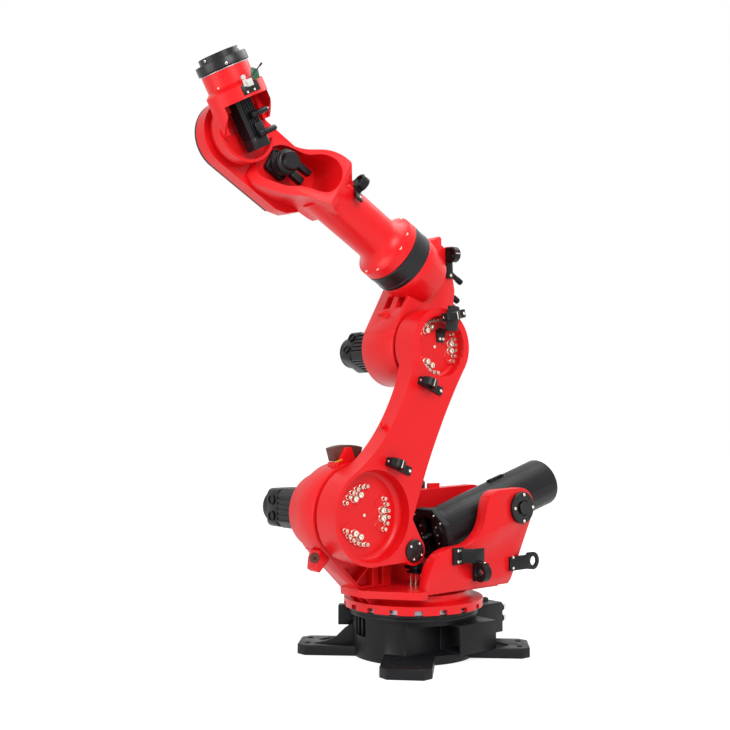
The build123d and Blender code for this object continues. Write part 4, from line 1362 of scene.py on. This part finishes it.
@dataclass
class Forearm:
    """Forearm with its collar, bay motor, belt cover and hose clamp.

    Attributes:
        motor_along: Distance of the bay's motor along the roll axis, in millimetres.
        floor_y: Y of the bay's floor.
    """

    motor_along: float = 1202.0
    floor_y: float = -112.0

    def build(self) -> None:
        """Build the whole forearm."""
        Casting("forearm_casting", 0).build()
        self.add_collar()
        self.add_bay_motor()
        self.add_clamp()
        Casting("belt_cover", 4, OXIDE_BLACK).build()
        self.add_cover_screws()

    def add_collar(self) -> None:
        """Fit the turned collar of the roll joint and the flange screws in their pockets."""
        rings = [
            (184, -1), (187, 2), (187, 22), (185, 24), (185, 84), (187, 86), (187, 109), (184, 112)
        ]
        collar = Bench.turned("roll_collar", rings, 96)
        spigot = Bench.turned("spigot", [(98, 110), (100, 112), (100, 147), (98, 148)], 48)
        place = FOREARM.ahead(300, 0, 0)
        fit(Bench.joined([collar, spigot]), place, OXIDE_BLACK, "elbow", ["forearm_collar"])
        pockets = [a + d for a in range(0, 360, 90) for d in (-16, 15)]
        spots = around(FOREARM.ahead(466, 0, 0), 170, pockets)
        sunk = [spot @ moved_by(0, 0, -1) for spot in spots]
        Screw(20, 10).fit("forearm_flange_screws", sunk, FOREARM.body)

    def add_bay_motor(self) -> None:
        """Fit the stepped motor that stands in the bay and drives the wrist belt."""
        foot = FOREARM.near(self.motor_along, 0, self.floor_y)
        base = Bench.plate("bay_servo", rounded_square(63, 20), 0, 34, 3)
        ribs = [(62, 30), (62, 40)]
        for i in range(4):
            ribs += [(57, 41 + 15 * i), (57, 47 + 15 * i), (62, 48 + 15 * i), (62, 54 + 15 * i)]
        barrel = Bench.turned(
            "barrel", [*ribs, (62, 108), (58, 114), (50, 116), (48, 118), (48, 143), (44, 149)], 56
        )
        arm = Bench.plate("arm", [(-150, -56), (-40, -52), (-40, -16), (-150, -24)], 66, 104, 4)
        box = Bench.plate("box", [(-128, 10), (-52, 6), (-52, 48), (-128, 50)], 70, 108, 4)
        parts = Bench.joined([base, barrel, arm, box], "bay_servo")
        fit(parts, foot, MOTOR_BLACK, FOREARM.body, ["wrist_drive_motor"])
        spots = [foot @ moved_by(x, y, 34) for x in (-50, 50) for y in (-50, 50)]
        Screw(14, 9).fit("bay_servo_screws", spots, FOREARM.body, OXIDE_BLACK)
        band = Bench.spun("bay_servo_band", [(62, 0), (65, 1), (65, 9), (62, 10)], steps=56)
        fit(band, foot @ moved_by(0, 0, 98), NYLON, FOREARM.body)

    def add_clamp(self) -> None:
        """Fit the hose clamp that stands on the tube near the bay."""
        away = (FOREARM.way(0, 1) + Vector((0, 1.2, 0))).normalized()
        spot = FOREARM.point(808, 0, 0) + away * 127
        place = seat(spot, away, away.cross(FOREARM.way(1, 0)))
        HoseClamp().build("forearm_clamp", place, FOREARM.body, ["forearm_hose_clamp"])

    def add_cover_screws(self) -> None:
        """Fit the screws round the edge of the belt cover."""
        face_y = -223
        spots = around(FOREARM.far(1468, 0, face_y), 160, range(-90, 91, 30))
        spots += [
            FOREARM.far(along, side, face_y) for along in (1120, 1240, 1360) for side in (-170, 158)
        ]
        Screw(14, 5).fit("belt_cover_screws", spots, FOREARM.body)


@dataclass
class Wrist:
    """Wrist cup and neck, the tool drive inside it, the switch plate and the tool flange.

    Attributes:
        neck: Radius of the neck in millimetres.
    """

    neck: float = 122.0

    def build(self) -> None:
        """Build the whole wrist and the tool flange."""
        Casting("wrist_casting", 0).build()
        self.add_far_wall()
        Casting("flange_seal_ring", 0.8, GROUND_STEEL).build()
        self.add_tool_flange()
        self.add_tool_motor()
        self.add_switch_plate()
        ring = around(WRIST.ahead(228, 0, 0), self.neck - 2, (68, 180, 292))
        sideways = [spot @ turned_by(90, "Y") for spot in ring]
        Screw(9, 3).fit("wrist_neck_screws", sideways, WRIST.body)

    def add_tool_flange(self) -> None:
        """Fit the stepped black tool flange with its bolt circle and dowel hole."""
        place = TOOL.ahead(306, 0, 0)
        rings = [
            (128, -0.2), (131, 2), (131, 41), (129, 44), (110, 44), (103, 45), (103, 72), (101, 74)
        ]
        rings += [(100, 74), (99, 73), (60, 73), (58, 74), (33, 74), (31.5, 72), (31.5, 56)]
        disc = Bench.turned("tool_flange_disc", rings, 96)
        hole = Bench.turned("hole", [(5.5, 54), (5.5, 80)], 16)
        holes = Bench.repeat(hole, around(HERE, 80, range(0, 360, 60)))
        disc = Bench.cut(disc, holes)
        fit(disc, place, OXIDE_BLACK, TOOL.body, ["tool_flange"])
        side = [
            place
            @ turned_by(first + turn, "Z")
            @ moved_by(radius, 0, height)
            @ turned_by(90, "Y")
            for first, radius, height in ((-28, 129, 12), (40, 101, 60))
            for turn in (0, 120, 240)
        ]
        Screw(13, 3).fit("tool_flange_set_screws", side, TOOL.body)

    def add_tool_motor(self) -> None:
        """Fit the long finned motor of the tool axis, with its plugs and levers."""
        place = WRIST.ahead(-108, 0, 0)
        core = Bench.outlined("tool_servo", finned_square(50, 5, 5, 14), 62, 300)
        rear = Bench.plate("rear", rounded_square(49, 16), 0, 58, 4)
        neck = Bench.outlined("neck", rounded_square(45, 14), 57, 63)
        block = Bench.plate("block", rounded_square(24, 5), 0, 40, 3)
        block = Bench.moved(Bench.moved(block, turn=90, axis="Y"), (26, 12, 96))
        fit(
            Bench.joined([core, rear, neck, block]),
            place,
            MOTOR_BLACK,
            WRIST.body,
            ["flange_motor"],
        )
        for i, (h, reach) in enumerate(((-45, 178), (53, 172))):
            rings = [
                (17, 0), (17, 26), (13, 27), (13, 34), (15, 35), (15, reach - 74),
                (12, reach - 66), (9, reach - 62),
            ]
            lever = Bench.turned(f"tool_servo_plug_{i + 1}", rings, 24)
            spot = seat(WRIST.point(h, -12, 60), WRIST.way(0, 1), NEARWARD)
            fit(lever, spot, NYLON, WRIST.body)
            tip = Bench.turned(f"tool_servo_plug_tip_{i + 1}", [(6, 0), (6, 5), (4, 8)], 16)
            fit(tip, spot @ moved_by(0, 0, reach - 63), ZINC, WRIST.body)

    def add_switch_plate(self) -> None:
        """Fit the small switch plate on the wrist's body with its levers, board and wire rod."""
        place = self.plate_place()
        plate = Bench.outlined("switch_plate", oblong(-48, 48, -24, 24), -14, 6)
        fit(Bench.rounded(plate, 3), place, OXIDE_BLACK, WRIST.body)
        spots = [place @ moved_by(x, -14, 6) for x in (-30, 12)]
        Screw(12, 5).fit("switch_plate_screws", spots, WRIST.body)
        base = Bench.plate("switch_body", oblong(-22, 10, 6, 40), 4, 26, 2)
        arm = Bench.plate("arm", [(-40, 14), (-22, 10), (-14, 42), (-30, 62)], 8, 18, 2)
        roller = Bench.moved(
            Bench.turned("roller", [(10, 0), (11, 1), (11, 11), (10, 12)], 20), (-26, 56, 10)
        )
        fit(Bench.joined([base, arm, roller], "switch_body"), place, WHITE_PLASTIC, WRIST.body)
        edge = [(24, 28), (62, 24), (72, 64), (44, 84), (26, 66)]
        board = Bench.plate("switch_board", edge, 8, 13, 0.8)
        fit(board, place, GREEN_BOARD, WRIST.body)
        rod = Bench.turned(
            "switch_rod", [(3, 0), (3.2, 2), (3.2, 132), (5, 134), (5, 148), (4, 150)], 12
        )
        lie = turned_by(25, "Z") @ turned_by(86, "Y")
        fit(rod, place @ moved_by(-38, 20, 14) @ lie, OXIDE_BLACK, WRIST.body)

    def add_far_wall(self) -> None:
        """Fit the inner wall that closes the wrist's body on the far side."""
        wall = Bench.outlined("wrist_inner_wall", oblong(100, 212, -112, 112), 0, 8)
        fit(Bench.rounded(wall, 2), WRIST.near(0, 0, -32), RED_ENAMEL, WRIST.body)

    @staticmethod
    def plate_place() -> Matrix:
        """Give the place of the switch plate on the round body, near side and to the rear."""
        away = (WRIST.way(0, -0.08) + NEARWARD).normalized()
        return seat(WRIST.point(172, 0, 0) + away * 150, away, WRIST.way(0, 1))


@dataclass
class Turntable:
    """Turntable with the shoulder housing, its stops and the shoulder and yaw motors.

    Attributes:
        deck_top: Z of the deck in millimetres.
        yaw: Place of the slewing motor's foot.
    """

    deck_top: float = 385.0
    yaw: tuple[float, float, float] = (-206.0, -212.0, 470.0)

    def build(self) -> None:
        """Build the whole turntable."""
        for node, edge in (("turntable_casting", 4), ("shoulder_housing", 6), ("shoulder_lug", 7)):
            Casting(node, edge).build()
        Casting("stop_block", 5, RUBBER).build()
        Casting("stop_bracket", 3).build()
        far = SHOULDER.far(0, 0, -245)
        ServoMotor(108, 350, 60).build("shoulder_servo", far, SHOULDER.body, ["shoulder_motor"])
        Screw(18, 11).fit(
            "shoulder_seat_screws", around(far, 178, range(15, 375, 30)), SHOULDER.body
        )
        top = seat(Vector(self.yaw), UPWARD, FORWARD)
        ServoMotor(68, 390, 54, 4).build("yaw_servo", top, TABLE.body, ["yaw_motor"])
        self.add_lug_plug()
        self.add_stop_pad()
        self.add_hose_guide()

    def add_lug_plug(self) -> None:
        """Fit the brown rubber plug with its centre hole in the lug."""
        place = seat(Vector((706, 36, 574)), Vector((0.5, 1, -0.1)), FORWARD)
        rings = [(18, -6), (18, 2), (25, 3), (26, 8), (25, 18), (22, 21), (9, 21), (8, 12)]
        fit(Bench.turned("lug_plug", rings, 36), place, RUBBER, TABLE.body)

    def add_stop_pad(self) -> None:
        """Fit the yellow pad between the stop block and its bracket."""
        pad = Bench.outlined("stop_pad", [(-24, -9), (26, 4), (24, 12), (-26, -1)], -1, 3)
        place = seat(Vector((539, 22, 1054)), NEARWARD, FORWARD)
        fit(Bench.rounded(pad, 1), place, YELLOW_NYLON, TABLE.body)

    def add_hose_guide(self) -> None:
        """Fit the stack of guide blocks on its three bright pins."""
        corner = Vector((100, 139, self.deck_top))
        place = seat(corner, UPWARD, FORWARD)
        stack = [
            Bench.plate("guide_blocks", rounded_square(42, 8, 2), 66, 79, 1.5),
            Bench.plate("waist", rounded_square(27, 5, 2), 78, 91, 1),
            Bench.plate("lid", rounded_square(50, 10, 2), 90, 112, 2.5),
        ]
        Bench.moved(stack[0], (-4, -2, 0))
        fit(Bench.joined(stack), place, NYLON, TABLE.body, ["hose_guide"])
        pin = Bench.turned("guide_pins", [(7, 0), (7, 3), (6, 4), (6, 60), (7, 62), (7, 68)], 24)
        spots = [moved_by(x, y, 0) for x, y in ((-32, -2), (-10, -17), (12, -32))]
        fit(Bench.repeat(pin, spots), place, ZINC, TABLE.body)


@dataclass
class Yoke:
    """Two yoke plates of the counterbalance with their caps, brackets and lifting eye.

    Attributes:
        far_outer: Y of the far plate's outer face, in millimetres.
    """

    far_outer: float = -117.0

    def build(self) -> None:
        """Build the whole yoke."""
        Casting("yoke_near_plate", 9).build()
        Casting("yoke_far_plate", 8).build()
        self.add_caps()
        self.add_brackets()
        mark = Bench.turned("plate_plug", [(11, -3), (11, 0.5), (10, 2), (6, 2)], 28)
        fit(mark, self.spot(-385, 737), RED_ENAMEL, TABLE.body)

    @staticmethod
    def spot(x: float, z: float, y: float = YOKE_FACE_Y) -> Matrix:
        """Give a place on the near plate that faces the near side."""
        return seat(Vector((x, y, z)), NEARWARD, FORWARD)

    def add_caps(self) -> None:
        """Fit the trunnion caps with their screws and jacking holes."""
        middle = self.spot(*TRUNNION)
        rings = [
            (86, -0.5), (88, 2), (88, 17), (86, 20), (46, 20), (44, 13), (37, 13), (36, 30),
            (34, 32),
        ]
        near = Bench.turned("trunnion_cap_near", rings, 64)
        holes = Bench.turned("holes", [(4, 8), (4, 30)], 12)
        near = Bench.cut(near, Bench.repeat(holes, around(HERE, 73, range(45, 360, 90))))
        fit(near, middle, OXIDE_BLACK, TABLE.body, ["trunnion_caps"])
        ring = around(middle @ moved_by(0, 0, 20), 73, range(0, 360, 90))
        Screw(18, 9).fit("trunnion_cap_screws", ring, TABLE.body)
        back = seat(Vector((TRUNNION[0], self.far_outer, TRUNNION[1])), FARWARD, FORWARD)
        far = Bench.turned(
            "trunnion_cap_far", [(86, -0.5), (88, 2), (88, 17), (86, 20), (40, 20), (38, 16)], 64
        )
        fit(far, back, OXIDE_BLACK, TABLE.body)
        ring = around(back @ moved_by(0, 0, 20), 66, range(0, 360, 90))
        Screw(18, 9).fit("trunnion_cap_far_screws", ring, TABLE.body)

    def add_brackets(self) -> None:
        """Fit the hose bracket with its clamp and the lifting eye."""
        Casting("yoke_clamp_bracket", 2.5, NYLON).build()
        spots = [self.spot(x, z, 343) for x in (-4, -26) for z in (579, 522)]
        Screw(15, 8).fit("yoke_bracket_screws", spots, TABLE.body)
        self.add_hose_clamp()
        angles = [math.radians(a) for a in range(0, 181, 10)]
        ring = [(-590 - 49 * math.sin(a), 478 + 49 * math.cos(a)) for a in angles]
        edge = [*ring, (-536, 437), (-397, 437), (-397, 515), (-536, 515), (-546, 527)]
        plate = Bench.outlined("lifting_eye_plate", [(-x, z) for x, z in edge], 0, 12)
        hole = Bench.moved(Bench.turned("hole", [(25, -5), (25, 20)], 40), (590, 478, 0))
        plate = Bench.rounded(Bench.cut(plate, hole), 2)
        place = seat(Vector((0, 341, 0)), NEARWARD, BACKWARD)
        fit(plate, place, CAST_BLACK, TABLE.body, ["lifting_eye"])
        Screw(15, 8).fit(
            "lifting_eye_screws", [self.spot(-418, z, 353) for z in (511, 453)], TABLE.body
        )

    def add_hose_clamp(self) -> None:
        """Fit the block clamp that holds a hose under the bracket."""
        place = seat(Vector((-128, 400, 462)), FORWARD, NEARWARD)
        profile = [
            (27, -18), (31, -24), (46, -24), (50, -20), (50, 20), (46, 24), (31, 24), (27, 18)
        ]
        ring = Bench.spun("yoke_clamp", profile, steps=40)
        block = Bench.plate("block", oblong(-51, -29, -50, 50), -23, 23, 4)
        head = Bench.plate("head", oblong(-28, 32, 30, 49), -22, 22, 3)
        fit(Bench.joined([ring, block, head]), place, NYLON, TABLE.body, ["yoke_hose_clamp"])
        pads = [
            Bench.rounded(Bench.spun("yoke_clamp_pads", oblong(17, 28, -16, 16), a, 70, 10), 1)
            for a in (10, 100, 190, 280)
        ]
        fit(Bench.joined(pads), place, OXIDE_BLACK, TABLE.body)
        spots = [place @ moved_by(x, 49, 0) @ turned_by(-90, "X") for x in (-14, 18)]
        Screw(14, 7).fit("yoke_clamp_screws", spots, TABLE.body)


@dataclass
class Counterbalance:
    """Spring cylinder with its bolted flange, grab handle, trunnions and piston rod.

    Attributes:
        front: Distance from the trunnions to the flange's front face, in millimetres.
        rear: The same for the rear end, which lies behind them.
    """

    front: float = 515.0
    rear: float = -455.0

    def build(self) -> None:
        """Build the whole counterbalance."""
        Casting("cylinder_tube", 5, CAST_BLACK).build()
        Casting("cylinder_flange", 5, CAST_BLACK).build()
        Casting("trunnion_pins", 2).build()
        Casting("piston_rod", 2, HARD_CHROME).build()
        self.add_handle()
        face = CYLINDER.ahead(self.front, 0, CYLINDER_Y)
        corners = [a + d for a in range(0, 360, 90) for d in (33, 57)]
        Screw(12, 7).fit("cylinder_flange_screws", around(face, 137, corners), CYLINDER.body)
        self.add_gland(face)
        collar = Bench.spun(
            "cylinder_collar",
            [(122, 0), (133, 0), (135, 2), (135, 24), (133, 26), (122, 26)],
            steps=72,
        )
        fit(collar, CYLINDER.ahead(self.front - 72, 0, CYLINDER_Y), CAST_BLACK, CYLINDER.body)
        back = CYLINDER.ahead(self.rear, 0, CYLINDER_Y) @ turned_by(180, "X")
        lid = Bench.turned(
            "cylinder_rear_plug", [(40, -3), (40, 0), (34, 0), (31, -2), (12, -2), (10, 0)], 36
        )
        fit(lid, back, OXIDE_BLACK, CYLINDER.body)

    def add_gland(self, face: Matrix) -> None:
        """Fit the slotted plate that closes the bore round the rod, with its small screws.

        Args:
            face: Place of the front face of the flange.
        """
        plate = Bench.turned("cylinder_gland", [(107, -26), (107, -14), (104, -12)], 72)
        slot = Bench.outlined("slot", oblong(-30, 30, -96, 96), -40, 10)
        fit(Bench.cut(plate, slot), face, CAST_BLACK, CYLINDER.body)
        spots = [face @ moved_by(x, y, -12) for x in (-62, 62) for y in (-46, 0, 46)]
        Screw(11, 6).fit("cylinder_gland_screws", spots, CYLINDER.body)

    def add_handle(self) -> None:
        """Fit the bent grab handle on top of the cylinder."""
        place = CYLINDER.above(-75, 133, CYLINDER_Y)
        bar = Bench.outlined("cylinder_grab", oblong(-59, 59, -10, 10), 4, 13)
        feet = [
            Bench.outlined("foot", oblong(x - 9, x + 9, -22, 14), -8, 8) for x in (-50, 50)
        ]
        parts = Bench.joined([Bench.rounded(part, 2.5) for part in (bar, *feet)])
        fit(parts, place, CAST_BLACK, CYLINDER.body, ["cylinder_handle"])


@dataclass
class Base:
    """Base casting with its bearing ring, fork pockets, connector box and gussets.

    Attributes:
        foot_angle: Angle of the far feet from the X axis, in degrees.
    """

    foot_angle: float = 44.0

    def build(self) -> None:
        """Build the whole base."""
        Casting("base_casting", 5, CAST_BLACK).build()
        for node in ("fork_pocket_near", "fork_pocket_far", "side_box"):
            Casting(node, 4, CAST_BLACK).build()
        Casting("connector_box", 4, NYLON).build()
        Casting("bearing_ring", 1.5, GROUND_STEEL).build()
        seal = Bench.spun(
            "bearing_seal",
            [(348, 239), (354, 239), (356, 242), (356, 257), (354, 260), (348, 260)],
            steps=96,
        )
        fit(seal, HERE, NYLON, BASE.body)
        self.add_connectors()
        self.add_gussets()
        self.add_slot_parts()
        corners = [(x, y, 242) for x in (-522, -402) for y in (-50, 50)]
        spots = [seat(Vector(corner), UPWARD, FORWARD) for corner in corners]
        Screw(12, 5).fit("connector_box_screws", spots, BASE.body)

    def add_connectors(self) -> None:
        """Fit the round cable connectors with ribbed nuts and bright pins."""
        rings = [(24, 0), (24, 14), (21, 16)]
        for step in range(3):
            rings += [(22, 17 + 6 * step), (22, 21 + 6 * step), (20, 22 + 6 * step)]
        nut = Bench.turned("rear_connectors", [*rings, (18, 36), (16, 38), (14, 37)], 24)
        tip = Bench.turned(
            "rear_connector_shells", [(14, 34), (16, 36), (16, 57), (14, 60), (10, 60), (9, 52)], 24
        )
        spots = [
            seat(Vector((-555, y, z)), BACKWARD, NEARWARD) for y in (110, 40) for z in (188, 128)
        ]
        fit(Bench.repeat(nut, spots), HERE, NYLON, BASE.body, ["base_connectors"])
        fit(Bench.repeat(tip, spots), HERE, ZINC, BASE.body)

    def add_gussets(self) -> None:
        """Fit the tall curved gussets of the two far feet, from the foot's edge up to the drum."""
        for i, turn in enumerate((-self.foot_angle, 180 + self.foot_angle)):
            outline = [
                (300, 30), (560, 30), (548, 52), (470, 66), (415, 92), (372, 134), (336, 160),
                (300, 160),
            ]
            gusset = Bench.outlined(f"foot_gusset_{i + 1}", outline, -11, 11)
            Bench.rounded(gusset, 4)
            turned = turned_by(turn, "Z") @ moved_by(0, 60 - 120 * i, 0)
            place = turned @ turned_by(90, "X")
            fit(gusset, place, CAST_BLACK, BASE.body)

    def add_slot_parts(self) -> None:
        """Fit the locking bolt and its guides that show in the drum's front slot."""
        turned = turned_by(-11, "Z")
        back = Bench.plate("slot_parts", oblong(-52, 52, 120, 214), 296, 304, 1.5)
        bars = [
            Bench.plate("bar", oblong(x - w, x + w, 122, h), 303, 303 + d, 2)
            for x, w, h, d in ((-34, 7, 210, 20), (-8, 5, 205, 14), (14, 4, 212, 22))
        ]
        place = turned @ Matrix(((0, 0, 1, 0), (1, 0, 0, 0), (0, 1, 0, 0), (0, 0, 0, 1)))
        fit(Bench.joined([back, *bars]), place, CAST_BLACK, BASE.body)
        knob = Bench.turned("slot_knob", [(9, 0), (9, 9), (7, 11), (4, 11), (3, 6)], 20)
        fit(knob, place @ moved_by(32, 178, 303), OXIDE_BLACK, BASE.body)


@dataclass
class Studio:
    """Floor, lamps, background and camera.

    Attributes:
        eye: Place of the camera in metres.
        look: Direction that the camera looks in.
        lens: Focal length in millimetres.
        sensor: Width of the camera's sensor in millimetres.
        lit: Point that the lamps face, in metres.
        lamps: Name, place in metres, width in metres and power in watts of each lamp.
    """

    eye: tuple[float, float, float] = (3.7950, 4.1578, 1.2601)
    look: tuple[float, float, float] = (-0.63783, -0.76822, 0.05493)
    lens: float = 50.0
    sensor: float = 36.0
    lit: tuple[float, float, float] = (0.0, 0.0, 1.0)
    lamps: tuple[tuple[str, tuple[float, float, float], float, float], ...] = (
        ("key", (2.2, 5.5, 4.6), 3.2, 300),
        ("fill", (6.5, -0.5, 2.0), 3.5, 150),
        ("top", (-1.5, 0.5, 6.0), 4.0, 190),
    )

    def build(self) -> None:
        """Add floor, lamps, background and camera."""
        self.add_floor()
        self.add_lamps()
        self.add_background()
        self.add_camera()

    @staticmethod
    def seen(tree: Tree) -> Socket:
        """Give 1 where the camera, a reflection or a see-through surface looks, and 0 for light.

        Args:
            tree: Node tree of a material or a world.

        Returns:
            The output that carries the 1 or 0.
        """
        path = add_node(tree, "ShaderNodeLightPath")
        shown = path.outputs["Is Camera Ray"]
        for ray in ("Is Transmission Ray", "Is Glossy Ray"):
            largest = {"operation": "MAXIMUM"}
            shown = add_node(
                tree, "ShaderNodeMath", largest, i0=shown, i1=path.outputs[ray]
            ).outputs[0]
        return shown

    def add_floor(self) -> None:
        """Add the plain pale floor, which keeps the shadow and fades to white further out."""
        bpy.ops.mesh.primitive_plane_add(size=60, location=(0, 0, 0))
        floor = bpy.context.object
        floor.name = "studio_floor"
        material = bpy.data.materials.new("matt_white_studio_paint")
        material.use_nodes = True
        tree = material.node_tree
        tree.nodes.clear()
        place = add_node(tree, "ShaderNodeTexCoord").outputs["Object"]
        reach = add_node(
            tree, "ShaderNodeVectorMath", {"operation": "LENGTH"}, i0=place
        ).outputs["Value"]
        near = add_node(tree, "ShaderNodeMapRange", Value=reach, i1=0.7, i2=2.2, i3=0.80, i4=1.0)
        matt = add_node(tree, "ShaderNodeBsdfDiffuse", Color=linear("#e4e4e6"))
        grey = add_node(tree, "ShaderNodeBsdfDiffuse", Color=linear("#9c9c9e"))
        glow = add_node(
            tree, "ShaderNodeEmission", Color=(1, 1, 1, 1), Strength=near.outputs["Result"]
        )
        shown = add_node(tree, "ShaderNodeAddShader", i0=grey.outputs[0], i1=glow.outputs[0])
        mix = add_node(
            tree, "ShaderNodeMixShader", i0=self.seen(tree), i1=matt.outputs[0], i2=shown.outputs[0]
        )
        add_node(tree, "ShaderNodeOutputMaterial", Surface=mix.outputs[0])
        floor.data.materials.append(material)

    def add_lamps(self) -> None:
        """Add the soft area lamps."""
        for name, place, size, power in self.lamps:
            lamp = bpy.data.lights.new(name, "AREA")
            lamp.size = size
            lamp.energy = power
            holder = bpy.data.objects.new(name, lamp)
            bpy.context.scene.collection.objects.link(holder)
            holder.location = place
            aim = Vector(self.lit) - Vector(place)
            holder.rotation_euler = aim.to_track_quat("-Z", "Y").to_euler()

    def add_background(self) -> None:
        """Light the object softly from all round, and show white to camera and reflections."""
        world = bpy.data.worlds.new("studio")
        bpy.context.scene.world = world
        world.use_nodes = True
        tree = world.node_tree
        tree.nodes.clear()
        soft = add_node(tree, "ShaderNodeBackground", Color=(1, 1, 1, 1), Strength=0.45)
        white = add_node(tree, "ShaderNodeBackground", Color=(1, 1, 1, 1), Strength=1.0)
        mix = add_node(
            tree, "ShaderNodeMixShader", i0=self.seen(tree), i1=soft.outputs[0], i2=white.outputs[0]
        )
        add_node(tree, "ShaderNodeOutputWorld", Surface=mix.outputs[0])

    def add_camera(self) -> None:
        """Add the camera at the photograph's view."""
        data = bpy.data.cameras.new("camera")
        data.lens = self.lens
        data.sensor_width = self.sensor
        camera = bpy.data.objects.new("camera", data)
        bpy.context.scene.collection.objects.link(camera)
        camera.location = self.eye
        camera.rotation_euler = Vector(self.look).to_track_quat("-Z", "Y").to_euler()
        bpy.context.scene.camera = camera


def dress_nodes() -> None:
    """Give every CAD node the finish of its slot."""
    slots = {entry["node"]: Slot(entry["material_slot"]) for entry in frame["record"]["subparts"]}
    for name, node in frame["nodes"].items():
        node.data.materials.clear()
        node.data.materials.append(Shelf.get(SLOT_FINISH[slots[name]]))


def main() -> None:
    """Build the studio and the dressed robot arm, and report each piece."""
    logging.basicConfig(level=logging.INFO, format="%(message)s")
    bpy.context.scene.view_settings.view_transform = "Standard"
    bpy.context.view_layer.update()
    Bench.clear()
    Studio().build()
    dress_nodes()
    for assembly in (
        Base(), Turntable(), Yoke(), Counterbalance(), LowerArm(), Elbow(), Forearm(), Wrist()
    ):
        assembly.build()
    Bench.clear()


if __name__ == "__main__":
    main()
